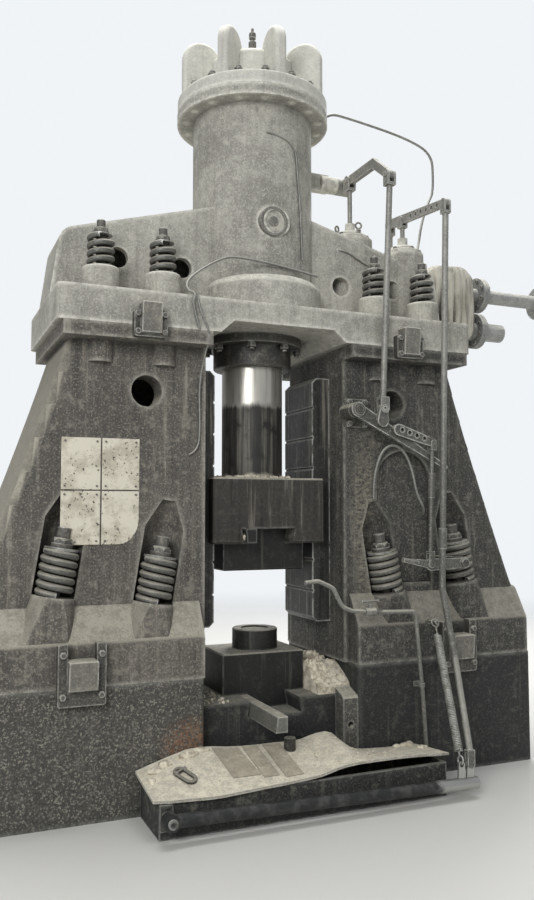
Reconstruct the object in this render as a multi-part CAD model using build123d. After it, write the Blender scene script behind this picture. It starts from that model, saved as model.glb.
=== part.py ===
from build123d import *
import os
from math import atan2, cos, degrees, hypot, pi, radians, sin, sqrt

# Pneumatic forging hammer of the double frame kind, with its anvil block and control gear.
# Millimetres. X to the right, Y to the back, Z up. The origin is on the floor, under the
# piston rod. Left and right are as the smith sees them from the front.

# Clearances
slide_gap = 0.5        # ram in its guides, on each side
fit_gap = 0.3          # pieces that lie in a hole or beside each other without a fit
pin_gap = 0.05         # a pin in its eye, on the radius
ring_gap = 0.5         # piston and rings in the bore, on the radius
cheek_gap = 1.0        # between a fork's cheek and the bar inside it
slip_gap = 2.0         # a spindle's pin in its lever, whose arc leaves the straight stroke

# Anvil block
anvil_half_length = 1780
anvil_half_depth = 515
anvil_height = 700
pit_half_width = 489
pit_half_depth = 400
shelf_height = 520
anvil_edge = 25

# Sow block, its dovetail and key
sow_half_width = 268
sow_half_depth = 199
sow_top = 762
sow_edge = 8
dove_left = -170
dove_right = 145
dove_depth = 90
dove_flare = 18
key_width = 62
key_reach = 590
key_drop = 4

# Dies
lower_die_radius = 143
lower_die_height = 125
lower_die_x = 20
upper_die_height = 168
die_key_reach = 45
toe_width = 102
toe_back_height = 556
toe_front_height = 505
toe_hole_height = 350
toe_hole_radius = 19

# Ram, piston rod and piston
ram_half_width = 369
ram_half_depth = 306
ram_bottom = 1430
ram_height = 400
ram_edge = 12
groove_bottom = 330
rod_radius = 195
piston_bottom = 3350
piston_height = 190
ring_count = 3
ring_height = 14
ring_depth = 12

# Cylinder and its bed
bore_radius = 300
cylinder_radius = 391
cylinder_top = 4229
bore_floor = 2940
flange_radius = 496
flange_height = 73
bed_half_length = 1335
bed_lip = 19            # the bed's overhang over the anvil's faces
bed_half_depth = anvil_half_depth + bed_lip
bed_bottom = 2655
bed_top = 2853
arch_half_width = 326
arch_height = 72
arch_slope = 80
apron_radius = 380
apron_y = -150
apron_height = 197
apron_round = 70
medallion_radius = 88
medallion_z = 3400
medallion_rise = 14

# Wings that brace the cylinder on the bed
wing_half_depth = 210
wing_root_z = 3513
wing_corner_x = 1275
wing_corner_z = 3252
wing_end_x = 1330
wing_round = 110
wing_wall = 50
wing_hole_radius = 62
wing_holes = ((545, 3100), (940, 3118))

# Cylinder cover
cover_thickness = 81
cover_spigot = 40
hub_radius = 314
hub_height = 262
hub_round = 45
fin_count = 8
fin_thickness = 74
fin_reach = 486
fin_height = 350
fin_root = 230
fin_round = 125
fin_edge = 27
plug_shoulder = 95
plug_neck = 70
plug_cap = 30
plug_tip_radius = 9
plug_thread = 16
plug_flats = 62
plug_body = 26
plug_height = 280
cover_stud_circle = 440
cover_stud_radius = 18
cover_nut_flats = 55
cover_nut_height = 32

# Piston rod gland
neck_height = 40
packing_radius = 246
gland_radius = 320
gland_flange = 58
gland_nose = 252
gland_nose_length = 138
gland_spigot = 75
gland_stud_circle = 290
gland_stud_radius = 16
gland_stud_count = 8

# Side stands
stand_inner = 455
stand_half_depth = 400
stand_wall = 75
stand_face_wall = 170
stand_flange_thickness = 80
stand_flange_end = 1300
stand_shoulder_x = 1250
stand_bow_x = 1418
stand_bow_z = 2060
stand_end = 1760
stand_foot_z = 1125
stand_edge = 55
foot_front_z = 925
foot_inner = 489
stand_hole_x = 807
stand_hole_z = 2307
stand_hole_radius = 90
panel_left = 690
panel_right = 1090
panel_bottom = 1170
panel_top = 2010
panel_depth = 30

# Ram guides
guide_half_depth = 209
guide_bottom = 930
guide_top = 2480
guide_groove = 16

# Upper spring bolts, two on each side, front and back
top_bolt_xs = (709, 1072)
top_bolt_y = 363
top_stud_radius = 25
top_boss_radius = 104
top_boss_height = 143
top_under_boss = 80
top_under_length = 120
top_spring_outer = 79
top_wire = 16.5
top_spring_height = 186
top_spring_turns = 3.7
top_nut_flats = 80
top_nut_height = 42
top_stud_tail = 48

# Lower spring bolts, leaning towards the middle
low_bolt_feet = ((761, 1115), (1310, 1170))
low_bolt_y = 400
low_lean = 9.0
low_stud_radius = 36
low_boss_top = 113
low_boss_base = 158
low_boss_length = 280
low_boss_inset = 8
low_niche_radius = 114
low_niche_length = 420
low_niche_taper = 160
low_spring_outer = 102
low_wire = 19
low_spring_height = 250
low_spring_turns = 5.2
low_nut_flats = 98
low_nut_height = 30
low_plate = 12
low_collar = 24
low_stud_tail = 56
low_stud_depth = 320

# Clamp boxes that lock the joints
upper_clamp_x = 835
upper_clamp_size = (188, 52, 150)
upper_clamp_z = 2655
upper_key_size = (112, 88, 169)
upper_key_floor = 2602
lower_clamp_x = 1180
lower_clamp_size = (250, 62, 320)
lower_clamp_z = 780
lower_key_size = (150, 118, 150)
lower_key_floor = 705
clamp_bolt_radius = 10
clamp_bolt_depth = 60
clamp_bolt_spread = 0.33
clamp_head_flats = 32
clamp_head_height = 18

# Valve chest on the right wing
lever_x = 700
throttle_x = 1088
chest_y = -60
throttle_y = -112
chest_left = 1010
chest_front = -60
chest_back = 268
slide_chest_top = 3462
throttle_chest_top = 3395
slide_chest_radius = 150
throttle_chest_radius = 142
valve_bore = 80
valve_bore_floor = 3010
valve_cover_radius = 132
valve_cover_thickness = 26
valve_dome_radius = 92
valve_dome_height = 36
spindle_radius = 16
stuffing_radius = 34
stuffing_height = 62
cover_bolt_count = 6
cover_bolt_circle = 112
cover_bolt_radius = 8

# Valve lever, on a shaft held by a bracket of the cylinder
shaft_z = 3890
shaft_y = 60
shaft_radius = 34
hub_outer = 58
bracket_reach = 645
bracket_height = 118
bracket_root = 61        # how deep the foot runs into the curved wall
bracket_depth = 120
lever_thick = 34
lever_height = 62
rod_top_y = -578
rod_top_z = 3742
elbow_y = -392
elbow_z = 3888
link_fork_length = 70

# Curved lever on the right stand
curve_pivot_x = 470
curve_pivot_z = 2244
curve_y = -548
plate_y = -576
curve_rod_x = 638
curve_rod_z = 2256
curve_knee_x = 743
curve_knee_z = 2127
curve_end_x = 992
curve_end_z = 2053
curve_tail_x = 1104
curve_tail_z = 1904
curve_thick = 24
plate_thick = 32
curve_height = 86
pedestal_radius = 46
pedestal_pin = 24
adjust_hole = 14
adjust_count = 4
valve_rod_radius = 19
eye_radius = 34
eye_pin = 15
cheek_thick = 12
open_gap = 4
fork_root = 16
slide_low = 3100
slide_length = 270

# Hand lever and its link
hand_hub_x = 1213
hand_z = 1298
hand_pin_x = 969
hand_tip_x = 780
hand_tip_z = 1324
hand_link_radius = 13
hand_sleeve_radius = 22
hand_sleeve_low = 1707
hand_sleeve_high = 1863
hand_pin_z = 1293
hand_slot = 11
hand_thick = 22
hand_pin_radius = 10
hand_hub_pin = 18
hand_eye = 20
hand_cheek = 8
hand_fork_length = 46
hand_post_x = 1096

# Throttle lever, its post and the pull rod
post_y = 48
post_z = 3673
post_radius = 17
throttle_tip_y = -622
throttle_tip_z = 3604
throttle_height = 66
throttle_thick = 26
throttle_hole = 14
throttle_hole_count = 6
throttle_first_hole = -232
throttle_hole_step = 62
throttle_valve_z = 3180
pull_rod_radius = 20
pull_route = ((1088, -622, 3540), (1006, -644, 1150), (1040, -715, 740), (952, -965, 262))
pull_sleeve_low = 1392
pull_sleeve_high = 1520

# Treadle
treadle_left_x = -815
treadle_right_x = 1000
treadle_y = -965
treadle_left_z = 118
treadle_right_z = 80
treadle_radius = 33
treadle_grip = 36
treadle_grip_length = 270
treadle_lug_z = 190
treadle_lug_thick = 12
treadle_pin = 15
treadle_eye_half = 34
spring_hook_place = (985, -anvil_half_depth - 75, 940)
spring_foot_place = (893, -965, 190)
spring_outer = 25
spring_inner = 16
spring_hook_length = 74
spring_eye = 24
spring_wire = 5
spring_eye_rise = 18
spring_hole = 13.5

# Step box and step plate before the anvil
step_left = -850
step_right = 850
step_front = -880
step_back = -anvil_half_depth
step_height = 188
step_wall = 20
plate_thickness = 14
plate_back = -anvil_half_depth - 3
plate_stations = ((-880, -872, -6, 40), (-800, -892, -8, 66), (-700, -900, -9, 96), (-600, -907, -12, 122),
                  (-520, -908, -12, 128), (-440, -906, -8, 122), (-360, -904, -4, 112), (-270, -901, 0, 106),
                  (-190, -900, 3, 104), (-40, -898, 12, 103), (40, -898, 20, 102), (95, -897, 32, 106),
                  (150, -899, 46, 120), (200, -900, 54, 130), (255, -902, 59, 134), (300, -904, 61, 120),
                  (340, -906, 62, 80), (380, -907, 63, 42), (430, -908, 63, 18), (500, -909, 63, 7),
                  (580, -908, 61, 2), (680, -906, 56, -3), (780, -899, 47, -4), (872, -876, 36, -3))

# Pipes
pipe_y = 150
inlet_z = 3262
exhaust_z = 2985
inlet_radius = 52
exhaust_radius = 68
pipe_wall = 7
pipe_flange_radius = 131
pipe_flange_thickness = 24
inlet_joint_x = 1915
inlet_end_x = 2520
exhaust_joint_x = 1890
exhaust_end_x = 2120
flange_bolt_circle = 104
end_bolt_circle = 110
flange_bolt_radius = 9
flange_bolt_count = 8
blanket_gap = 0.6
blanket_x = 1610
blanket_z = 3130
blanket_size = (420, 340, 620)
blanket_round = 110

# Air pipe that blows the scale off the die
blow_radius = 13
blow_y = -anvil_half_depth - 85
blow_route = ((89, blow_y, 1211), (173, blow_y, 1219), (271, blow_y, 1175), (330, blow_y, 1063),
              (396, blow_y, 1036), (590, blow_y, 1021), (828, blow_y + 10, 1012),
              (850, blow_y + 15, 980), (905, blow_y + 34, 500), (940, blow_y + 40, 30))
blow_bends = (60, 60, 70, 40, 400, 14, 20, 900)
blow_clip_place = (898, blow_y + 32, 560)
blow_clip_radius = 19
blow_valve_x = 520
blow_valve_z = 1026.4


def block(x0, x1, y0, y1, z0, z1):
    """A plain block between two corners."""
    centre = Pos((x0 + x1) / 2, (y0 + y1) / 2, (z0 + z1) / 2)
    return centre * Box(abs(x1 - x0), abs(y1 - y0), abs(z1 - z0))


def upright(radius, z0, z1, x=0, y=0):
    """An upright round bar."""
    return Pos(x, y, (z0 + z1) / 2) * Cylinder(radius, z1 - z0)


def bar(start, end, radius):
    """A round bar from one point to another."""
    line = Vector(*end) - Vector(*start)
    return extrude(Plane(origin=start, z_dir=line) * Circle(radius), line.length)


def upright_hex(flats, z0, z1, x=0, y=0):
    """A hexagon nut or head with its axis upright."""
    corner = flats / sqrt(3)
    nut = Pos(x, y, z0) * extrude(RegularPolygon(corner, 6), z1 - z0)
    dome = Pos(x, y, z0) * Cone(corner * 1.02, flats / 2.1, z1 - z0,
                                align=(Align.CENTER, Align.CENTER, Align.MIN))
    skirt = Pos(x, y, (z0 + z1) / 2 - (z1 - z0) * 0.2) * Cylinder(corner * 1.02, (z1 - z0) * 0.6)
    return nut & (dome + skirt)


def side_plate(points, y, thickness):
    """A plate with an outline in X and Z, centred on one Y."""
    face = Plane.XZ * make_face(Polyline(*points, close=True))
    return Pos(0, y, 0) * extrude(face, thickness / 2, both=True)


def side_bar(y0, z0, y1, z1, x, width, thickness):
    """A flat bar with round ends, in a plane of constant X."""
    length = hypot(y1 - y0, z1 - z0)
    turn = degrees(atan2(z1 - z0, y1 - y0))
    face = SlotCenterToCenter(length, width)
    flat = extrude(Plane.YZ * (Pos((y0 + y1) / 2, (z0 + z1) / 2) * Rot(0, 0, turn) * face), thickness / 2,
                   both=True)
    return Pos(x, 0, 0) * flat


def coil_spring(outer, wire, height, turns):
    """A helical spring that stands on Z = 0, with both ends ground flat."""
    mean = outer - wire
    pitch = (height - wire) / turns
    path = Helix(pitch, pitch * turns, mean)
    section = Plane(origin=path @ 0, z_dir=path % 0) * Circle(wire)
    wound = Pos(0, 0, wire / 2) * sweep(section, path=path, is_frenet=True)
    return wound & (Pos(0, 0, height / 2) * Box(3 * outer, 3 * outer, height))


def mirrored(piece):
    """The same piece on the other side of the machine."""
    return mirror(piece, about=Plane.YZ)


def group(pieces):
    """Separate solids that share one node."""
    solids = []
    for piece in pieces:
        solids.extend(piece.solids())
    return Compound(children=solids)


def at_four(piece):
    """One piece copied to both sides, front and back."""
    back = mirror(piece, about=Plane.XZ)
    return [piece, back, mirrored(piece), mirrored(back)]


# Anvil block, one casting with a pit between the stands and a dovetail slot for the sow block
dove_floor = shelf_height - dove_depth
lean = radians(low_lean)


def dovetail(left, right, top, floor, half_depth):
    """A bar of dovetail section along Y."""
    points = ((left, top), (right, top), (right + dove_flare, floor), (left - dove_flare, floor))
    return side_plate(points, 0, 2 * half_depth)


def low_axis(foot):
    """Base point and unit direction of a lower spring bolt on the right front."""
    x, z = foot
    return Vector(x, -low_bolt_y, z), Vector(-sin(lean), 0, cos(lean))


def low_bar(foot, low, high, radius):
    """A bar on a lower bolt's axis, measured up from its spring seat."""
    seat, way = low_axis(foot)
    return bar(seat + way * low, seat + way * high, radius)


def anvil_block():
    body = block(-anvil_half_length, anvil_half_length, -anvil_half_depth, anvil_half_depth, 0,
                 anvil_height)
    body = fillet(body.edges().filter_by(Axis.Z), anvil_edge)
    for side in (-1, 1):
        front = block(-pit_half_width, pit_half_width, side * pit_half_depth,
                      side * (anvil_half_depth + 1), -1, anvil_height + 1)
        body -= front
    body -= block(-pit_half_width, pit_half_width, -pit_half_depth - 1, pit_half_depth + 1,
                  shelf_height, anvil_height + 1)
    body -= dovetail(dove_left, dove_right, shelf_height, dove_floor, pit_half_depth + 1)
    corners = body.edges().filter_by(Axis.Z).filter_by_position(Axis.X, -pit_half_width, pit_half_width)
    front_corners = [e for e in corners if abs(abs(e.center().Y) - anvil_half_depth) < 1]
    body = fillet(front_corners, anvil_edge)
    holes = []
    for foot in low_bolt_feet:
        holes += at_four(low_bar(foot, -low_stud_depth - low_seat_to_joint(foot), 0,
                                 low_stud_radius + fit_gap))
    for hole in holes:
        body -= hole
    return cut_clamp_bolts(body)


def low_seat_to_joint(foot):
    """Length of a lower bolt from its spring seat down to the anvil's top."""
    return (foot[1] - anvil_height) / cos(lean)


def sow_block():
    body = block(-sow_half_width, sow_half_width, -sow_half_depth, sow_half_depth, shelf_height, sow_top)
    body = chamfer(body.edges().group_by(Axis.Z)[-1], sow_edge)
    tongue = dovetail(dove_left + key_width, dove_right - fit_gap, shelf_height, dove_floor + fit_gap,
                      sow_half_depth)
    left_side = block(dove_left - 200, dove_left + key_width, -sow_half_depth - 1, sow_half_depth + 1,
                      dove_floor - 1, shelf_height)
    return body + (tongue - left_side)


def sow_key():
    """The long wedge that holds the sow block, with its end standing out to the front."""
    top = shelf_height - fit_gap - key_drop
    floor = dove_floor + fit_gap
    points = ((dove_left + fit_gap, top), (dove_left + key_width - fit_gap, top),
              (dove_left + key_width - fit_gap, floor), (dove_left - dove_flare / 2, floor))
    front = pit_half_depth + key_reach * 2 / 3
    back = pit_half_depth + key_reach / 9
    wedge = Pos(0, (back - front) / 2, 0) * side_plate(points, 0, front + back)
    return chamfer(wedge.edges().group_by(Axis.Y)[0], 3)


def toe_block():
    """Stop block in the front corner beside the right pillar."""
    right = pit_half_width - fit_gap
    left = right - toe_width
    middle = right - toe_width / 2
    front = anvil_half_depth - 12
    points = ((-pit_half_depth, 0), (-front, 0), (-front, toe_front_height),
              (-front + 12, toe_front_height + 15), (-pit_half_depth, toe_back_height))
    face = Plane.YZ * make_face(Polyline(*points, close=True))
    body = Pos(left, 0, 0) * extrude(face, right - left)
    return body - bar((middle, -front - 1, toe_hole_height), (middle, -front + 60, toe_hole_height),
                      toe_hole_radius)


def lower_die():
    low = sow_top
    high = sow_top + lower_die_height
    puck = upright(lower_die_radius, low, high, lower_die_x)
    puck = chamfer(puck.edges().group_by(Axis.Z)[-1], 6)
    return puck - upright(lower_die_radius * 0.62, high - 10, high + 1, lower_die_x)


# Side stands, hollow castings with a wide foot


def stand_outline():
    """Outline of the right stand in X and Z, from the foot to the flange."""
    flange_low = bed_bottom - stand_flange_thickness
    foot = Line((stand_end, anvil_height), (stand_inner, anvil_height))
    inside = Line((stand_inner, anvil_height), (stand_inner, flange_low))
    top = Line((stand_inner, flange_low), (stand_shoulder_x, flange_low))
    back = ThreePointArc((stand_shoulder_x, flange_low), (stand_bow_x, stand_bow_z),
                         (stand_end, stand_foot_z))
    end = Line((stand_end, stand_foot_z), (stand_end, anvil_height))
    return make_face([foot, inside, top, back, end])


def stand_core():
    """Hollow of the right stand, open at the foot."""
    wall = stand_wall
    flange_low = bed_bottom - stand_flange_thickness
    low = Line((stand_end - wall, anvil_height - 1), (stand_inner + wall, anvil_height - 1))
    inside = Line((stand_inner + wall, anvil_height - 1), (stand_inner + wall, flange_low - wall))
    top = Line((stand_inner + wall, flange_low - wall), (stand_shoulder_x - wall, flange_low - wall))
    back = ThreePointArc((stand_shoulder_x - wall, flange_low - wall), (stand_bow_x - wall, stand_bow_z),
                         (stand_end - wall, stand_foot_z))
    end = Line((stand_end - wall, stand_foot_z), (stand_end - wall, anvil_height - 1))
    return make_face([low, inside, top, back, end])


def low_boss(foot):
    """Leaning boss that carries a lower spring, blended into the foot."""
    seat, way = low_axis(foot)
    base = seat - way * low_boss_length
    cone = Plane(origin=base, z_dir=way) * Cone(
        low_boss_base, low_boss_top, low_boss_length, align=(Align.CENTER, Align.CENTER, Align.MIN))
    room = block(0, stand_end - low_boss_inset, low_boss_inset - anvil_half_depth, 0,
                 anvil_height + 60, foot[1] + low_boss_length)
    return cone & room


def low_niche(foot):
    """Hollow in the stand's face that clears a lower spring."""
    seat, way = low_axis(foot)
    taper = Plane(origin=seat + way * (low_niche_length - 1), z_dir=way) * Cone(
        low_niche_radius, low_niche_radius / 3, low_niche_taper, align=(Align.CENTER, Align.CENTER, Align.MIN))
    return low_bar(foot, 0, low_niche_length, low_niche_radius) + taper


def stand(with_panel):
    flange_low = bed_bottom - stand_flange_thickness
    body = extrude(Plane.XZ * stand_outline(), stand_half_depth, both=True)
    long_edges = body.edges().filter_by(GeomType.CIRCLE)
    body = fillet(long_edges, stand_edge)
    profile = ((-anvil_half_depth, anvil_height), (-anvil_half_depth, foot_front_z),
               (-stand_half_depth, stand_foot_z), (stand_half_depth, stand_foot_z),
               (anvil_half_depth, foot_front_z), (anvil_half_depth, anvil_height))
    foot_face = make_face(Polyline(*profile, close=True))
    shoulders = [v for v in foot_face.vertices() if v.Y > anvil_height + 1]
    foot_face = fillet(shoulders, stand_edge)
    body += Pos(foot_inner, 0, 0) * extrude(Plane.YZ * foot_face, stand_end - foot_inner)
    body += block(stand_inner, stand_flange_end, -bed_half_depth, bed_half_depth, flange_low, bed_bottom)
    for foot in low_bolt_feet:
        boss = low_boss(foot)
        body += boss
        body += mirror(boss, about=Plane.XZ)
    for x in top_bolt_xs:
        for side in (-1, 1):
            body += upright(top_under_boss, flange_low - top_under_length, flange_low, x, side * top_bolt_y)
    for foot in low_bolt_feet:
        niche = low_niche(foot)
        body -= niche
        body -= mirror(niche, about=Plane.XZ)
    body -= extrude(Plane.XZ * stand_core(), stand_half_depth - stand_face_wall, both=True)
    body -= bar((stand_hole_x, -anvil_half_depth, stand_hole_z),
                (stand_hole_x, anvil_half_depth, stand_hole_z),
                stand_hole_radius)
    if with_panel:
        body -= recess()
    for foot in low_bolt_feet:
        hole = low_bar(foot, -low_seat_to_joint(foot) - 60, 60, low_stud_radius + fit_gap)
        body -= hole
        body -= mirror(hole, about=Plane.XZ)
    for x in top_bolt_xs:
        for side in (-1, 1):
            body -= upright(top_stud_radius + fit_gap, flange_low - top_under_length + 12, bed_bottom + 1,
                            x, side * top_bolt_y)
    return cut_clamp_bolts(body)


def recess():
    """Shallow arched panel in the face of the right stand."""
    half = (panel_right - panel_left) / 2
    low = block(panel_left, panel_right, -stand_half_depth - 1, -stand_half_depth + panel_depth,
                panel_bottom, panel_top - half)
    middle = (panel_left + panel_right) / 2
    arch = bar((middle, -stand_half_depth - 1, panel_top - half),
               (middle, -stand_half_depth + panel_depth, panel_top - half), half)
    return low + arch


def guide():
    """Ram guide on the right stand, with oil grooves across its face."""
    inner = groove_bottom + slide_gap
    body = block(inner, stand_inner, -guide_half_depth, guide_half_depth, guide_bottom, guide_top)
    body = chamfer(body.edges().filter_by(Axis.Y).group_by(Axis.X)[0], 30)
    for step in range(1, 8):
        z = guide_bottom + step * (guide_top - guide_bottom) / 8
        body -= bar((inner, -guide_half_depth - 1, z), (inner, guide_half_depth + 1, z), guide_groove / 2)
    return body


# Cylinder and bed, one casting


def wing_outline(inset):
    """Outline of the right wing in X and Z, drawn in by a wall."""
    floor = bed_top + (inset if inset else -10)
    root_x = cylinder_radius - 60
    top = FilletPolyline((root_x, wing_root_z - inset), (wing_corner_x - inset, wing_corner_z - inset),
                         (wing_end_x - inset, floor), radius=wing_round)
    low = Line((wing_end_x - inset, floor), (root_x, floor))
    rise = Line((root_x, floor), (root_x, wing_root_z - inset))
    return make_face([*top.edges(), low, rise])


def wing():
    solid = extrude(Plane.XZ * wing_outline(0), wing_half_depth, both=True)
    core = extrude(Plane.XZ * wing_outline(wing_wall), wing_half_depth - wing_wall, both=True)
    solid -= core
    for x, z in wing_holes:
        solid -= bar((x, -wing_half_depth - 1, z), (x, wing_half_depth + 1, z), wing_hole_radius)
    return solid


def valve_chest():
    """Barrels of the slide and throttle valves, and the box that takes the two pipes."""
    slide = upright(slide_chest_radius, bed_top - 10, slide_chest_top, lever_x, chest_y)
    throttle = upright(throttle_chest_radius, bed_top - 10, throttle_chest_top, throttle_x, throttle_y)
    box = block(chest_left, wing_end_x, chest_front, chest_back, bed_top - 10, throttle_chest_top)
    box = fillet(box.edges().filter_by(Axis.Z), 18)
    box = fillet(box.edges().group_by(Axis.Z)[-1], 18)
    return slide + throttle + box


def cylinder_bed():
    bed = block(-bed_half_length, bed_half_length, -bed_half_depth, bed_half_depth, bed_bottom, bed_top)
    bed = fillet(bed.edges().filter_by(Axis.Z), 40)
    rise = arch_half_width + arch_slope
    points = ((-rise, bed_bottom - 1), (-rise, bed_bottom), (-arch_half_width, bed_bottom + arch_height),
              (arch_half_width, bed_bottom + arch_height), (rise, bed_bottom), (rise, bed_bottom - 1))
    bed -= side_plate(points, 0, 2 * bed_half_depth + 2)
    barrel = upright(cylinder_radius, bed_top - 20, cylinder_top)
    apron = upright(apron_radius, bed_top - 20, bed_top + apron_height, 0, apron_y)
    apron = fillet(apron.edges().group_by(Axis.Z)[-1], apron_round)
    collar = upright(flange_radius, cylinder_top - flange_height, cylinder_top)
    collar = fillet(collar.edges().group_by(Axis.Z)[-1], 6)
    body = bed + barrel + apron + collar
    right_wing = wing()
    body += right_wing
    body += mirrored(right_wing)
    body += valve_chest()
    for x in top_bolt_xs:
        seat = upright(top_boss_radius, bed_top - 10, bed_top + top_boss_height, x, -top_bolt_y)
        seat = fillet(seat.edges().group_by(Axis.Z)[-1], 14)
        for piece in at_four(seat):
            body += piece
    body += bar((0, -cylinder_radius - medallion_rise, medallion_z),
                (0, -cylinder_radius + 20, medallion_z),
                medallion_radius)
    body -= bar((0, -cylinder_radius - medallion_rise - 1, medallion_z),
                (0, -cylinder_radius - medallion_rise / 2, medallion_z), medallion_radius - 14)
    body -= upright(bore_radius, bore_floor, cylinder_top + 1)
    body -= upright(rod_radius + 1, bed_bottom, bore_floor + 1)
    body -= upright(packing_radius + fit_gap, bed_bottom, bore_floor - neck_height)
    for x in top_bolt_xs:
        for piece in at_four(upright(top_stud_radius + 1, bed_bottom - 1, bed_top + top_boss_height + 1,
                                     x, -top_bolt_y)):
            body -= piece
    for place in cover_stud_places():
        body -= upright(cover_stud_radius + fit_gap, cylinder_top - flange_height + 8, cylinder_top + 1,
                        *place)
    for place in gland_stud_places():
        body -= upright(gland_stud_radius + fit_gap, gland_top() - 1, gland_top() + 70, *place)
    body -= upright(post_radius + fit_gap, throttle_chest_top - 40, throttle_chest_top + 1, throttle_x,
                    post_y)
    body -= upright(valve_bore, valve_bore_floor, slide_chest_top + 1, lever_x, chest_y)
    body -= upright(valve_bore * 0.7, valve_bore_floor, throttle_chest_top + 1, throttle_x, throttle_y)
    body -= bar((lever_x, chest_y, valve_bore_floor + 60), (0, chest_y, valve_bore_floor + 60), 45)
    for z, radius in ((inlet_z, inlet_radius), (exhaust_z, exhaust_radius)):
        body -= bar((throttle_x + 60, pipe_y, z), (wing_end_x + 1, pipe_y, z), radius)
        for y, level in flange_bolt_places(z):
            body -= bar((wing_end_x - 50, y, level), (wing_end_x + 1, y, level),
                        flange_bolt_radius + fit_gap)
    for x, y, top in valve_covers():
        for place in cover_bolt_places(x, y):
            body -= upright(cover_bolt_radius + fit_gap, top - 40, top + 1, *place)
    return cut_clamp_bolts(body)


def valve_covers():
    """Centre and seat height of the two valve covers."""
    return ((lever_x, chest_y, slide_chest_top), (throttle_x, throttle_y, throttle_chest_top))


def cover_bolt_places(x, y):
    angles = [(index + 0.5) * 2 * pi / cover_bolt_count for index in range(cover_bolt_count)]
    return [(x + cover_bolt_circle * cos(a), y + cover_bolt_circle * sin(a)) for a in angles]


def flange_bolt_places(z, circle=flange_bolt_circle, turn=0.5):
    angles = [(index + turn) * 2 * pi / flange_bolt_count for index in range(flange_bolt_count)]
    return [(pipe_y + circle * cos(a), z + circle * sin(a)) for a in angles]


def cover_stud_places():
    """Two studs in each space between the fins."""
    places = []
    for index in range(fin_count):
        middle = (index + 0.5) * 2 * pi / fin_count
        for part in (-1, 1):
            angle = middle + part * 0.19
            places.append((cover_stud_circle * cos(angle), cover_stud_circle * sin(angle)))
    return places


def cylinder_cover():
    top = cylinder_top + cover_thickness
    disc = upright(flange_radius - 2, cylinder_top, top)
    disc = fillet(disc.edges().group_by(Axis.Z)[-1], 10)
    spigot = upright(bore_radius - fit_gap, cylinder_top - cover_spigot, cylinder_top + 5)
    hub = Pos(0, 0, top - 5) * Cone(hub_radius, hub_radius - 26, hub_height + 5,
                                    align=(Align.CENTER, Align.CENTER, Align.MIN))
    hub = fillet(hub.edges().group_by(Axis.Z)[-1], hub_round)
    body = disc + spigot + hub
    outline = FilletPolyline((fin_root, top - 5), (fin_root, top + fin_height),
                             (fin_reach, top + fin_height),
                             (fin_reach, top - 5), radius=fin_round)
    base = Line((fin_reach, top - 5), (fin_root, top - 5))
    face = Plane.XZ * make_face([*outline.edges(), base])
    fin = extrude(face, fin_thickness / 2, both=True)
    rim = [edge for edge in fin.edges()
           if edge.center().Z > top and abs(edge.center().Y) > fin_thickness / 2 - 1]
    fin = fillet(rim, fin_edge)
    for index in range(fin_count):
        body += Rot(0, 0, index * 360 / fin_count) * fin
    for place in cover_stud_places():
        body -= upright(cover_stud_radius + fit_gap, cylinder_top - 1, top + 1, *place)
    body -= upright(plug_thread + fit_gap, top + hub_height - 60, top + hub_height + 1)
    return body


def cover_plug():
    """Relief plug in the middle of the cover."""
    seat = cylinder_top + cover_thickness + hub_height
    top = seat + plug_height
    body = upright(plug_thread, seat - 58, seat) + upright_hex(plug_flats, seat, seat + 30)
    body += upright(plug_body, seat + 30, top - plug_shoulder)
    body += upright(plug_body * 0.55, top - plug_shoulder, top - plug_neck)
    body += upright(plug_body * 0.9, top - plug_neck, top - plug_cap)
    body = fillet(body.edges().group_by(Axis.Z)[-1], 8)
    return body + upright(plug_tip_radius, top - plug_cap, top)


def cover_studs():
    top = cylinder_top + cover_thickness
    studs = []
    for x, y in cover_stud_places():
        stud = upright(cover_stud_radius, cylinder_top - flange_height + 10, top + cover_nut_height + 14,
                       x, y)
        studs.append(stud + upright_hex(cover_nut_flats, top, top + cover_nut_height, x, y))
    return group(studs)


# Gland that packs the piston rod


def gland_top():
    """Height of the seat of the gland's flange under the bed."""
    return bed_bottom + arch_height


def gland_stud_places():
    angles = [(index + 0.5) * 2 * pi / gland_stud_count for index in range(gland_stud_count)]
    return [(gland_stud_circle * cos(a), gland_stud_circle * sin(a)) for a in angles]


def gland():
    seat = gland_top()
    body = upright(gland_radius, seat - gland_flange, seat)
    body += upright(gland_nose, seat - gland_flange - gland_nose_length, seat)
    body += upright(packing_radius, seat - 5, seat + gland_spigot)
    body = fillet(body.edges().group_by(Axis.Z)[0].filter_by(GeomType.CIRCLE), 12)
    nose = seat - gland_flange - gland_nose_length
    body -= upright(rod_radius + fit_gap, nose - 1, seat + gland_spigot + 1)
    for place in gland_stud_places():
        body -= upright(gland_stud_radius + fit_gap, seat - gland_flange - 1, seat + 1, *place)
    return body


def gland_packing():
    low = gland_top() + gland_spigot
    ring = upright(packing_radius, low, bore_floor - neck_height)
    return ring - upright(rod_radius + fit_gap, low - 1, bore_floor)


def gland_studs():
    seat = gland_top()
    studs = []
    for x, y in gland_stud_places():
        stud = upright(gland_stud_radius, seat - gland_flange - 44, seat + 68, x, y)
        studs.append(stud + upright_hex(50, seat - gland_flange - 28, seat - gland_flange, x, y))
    return group(studs)


# Ram with its rod, piston, rings and upper die


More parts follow.
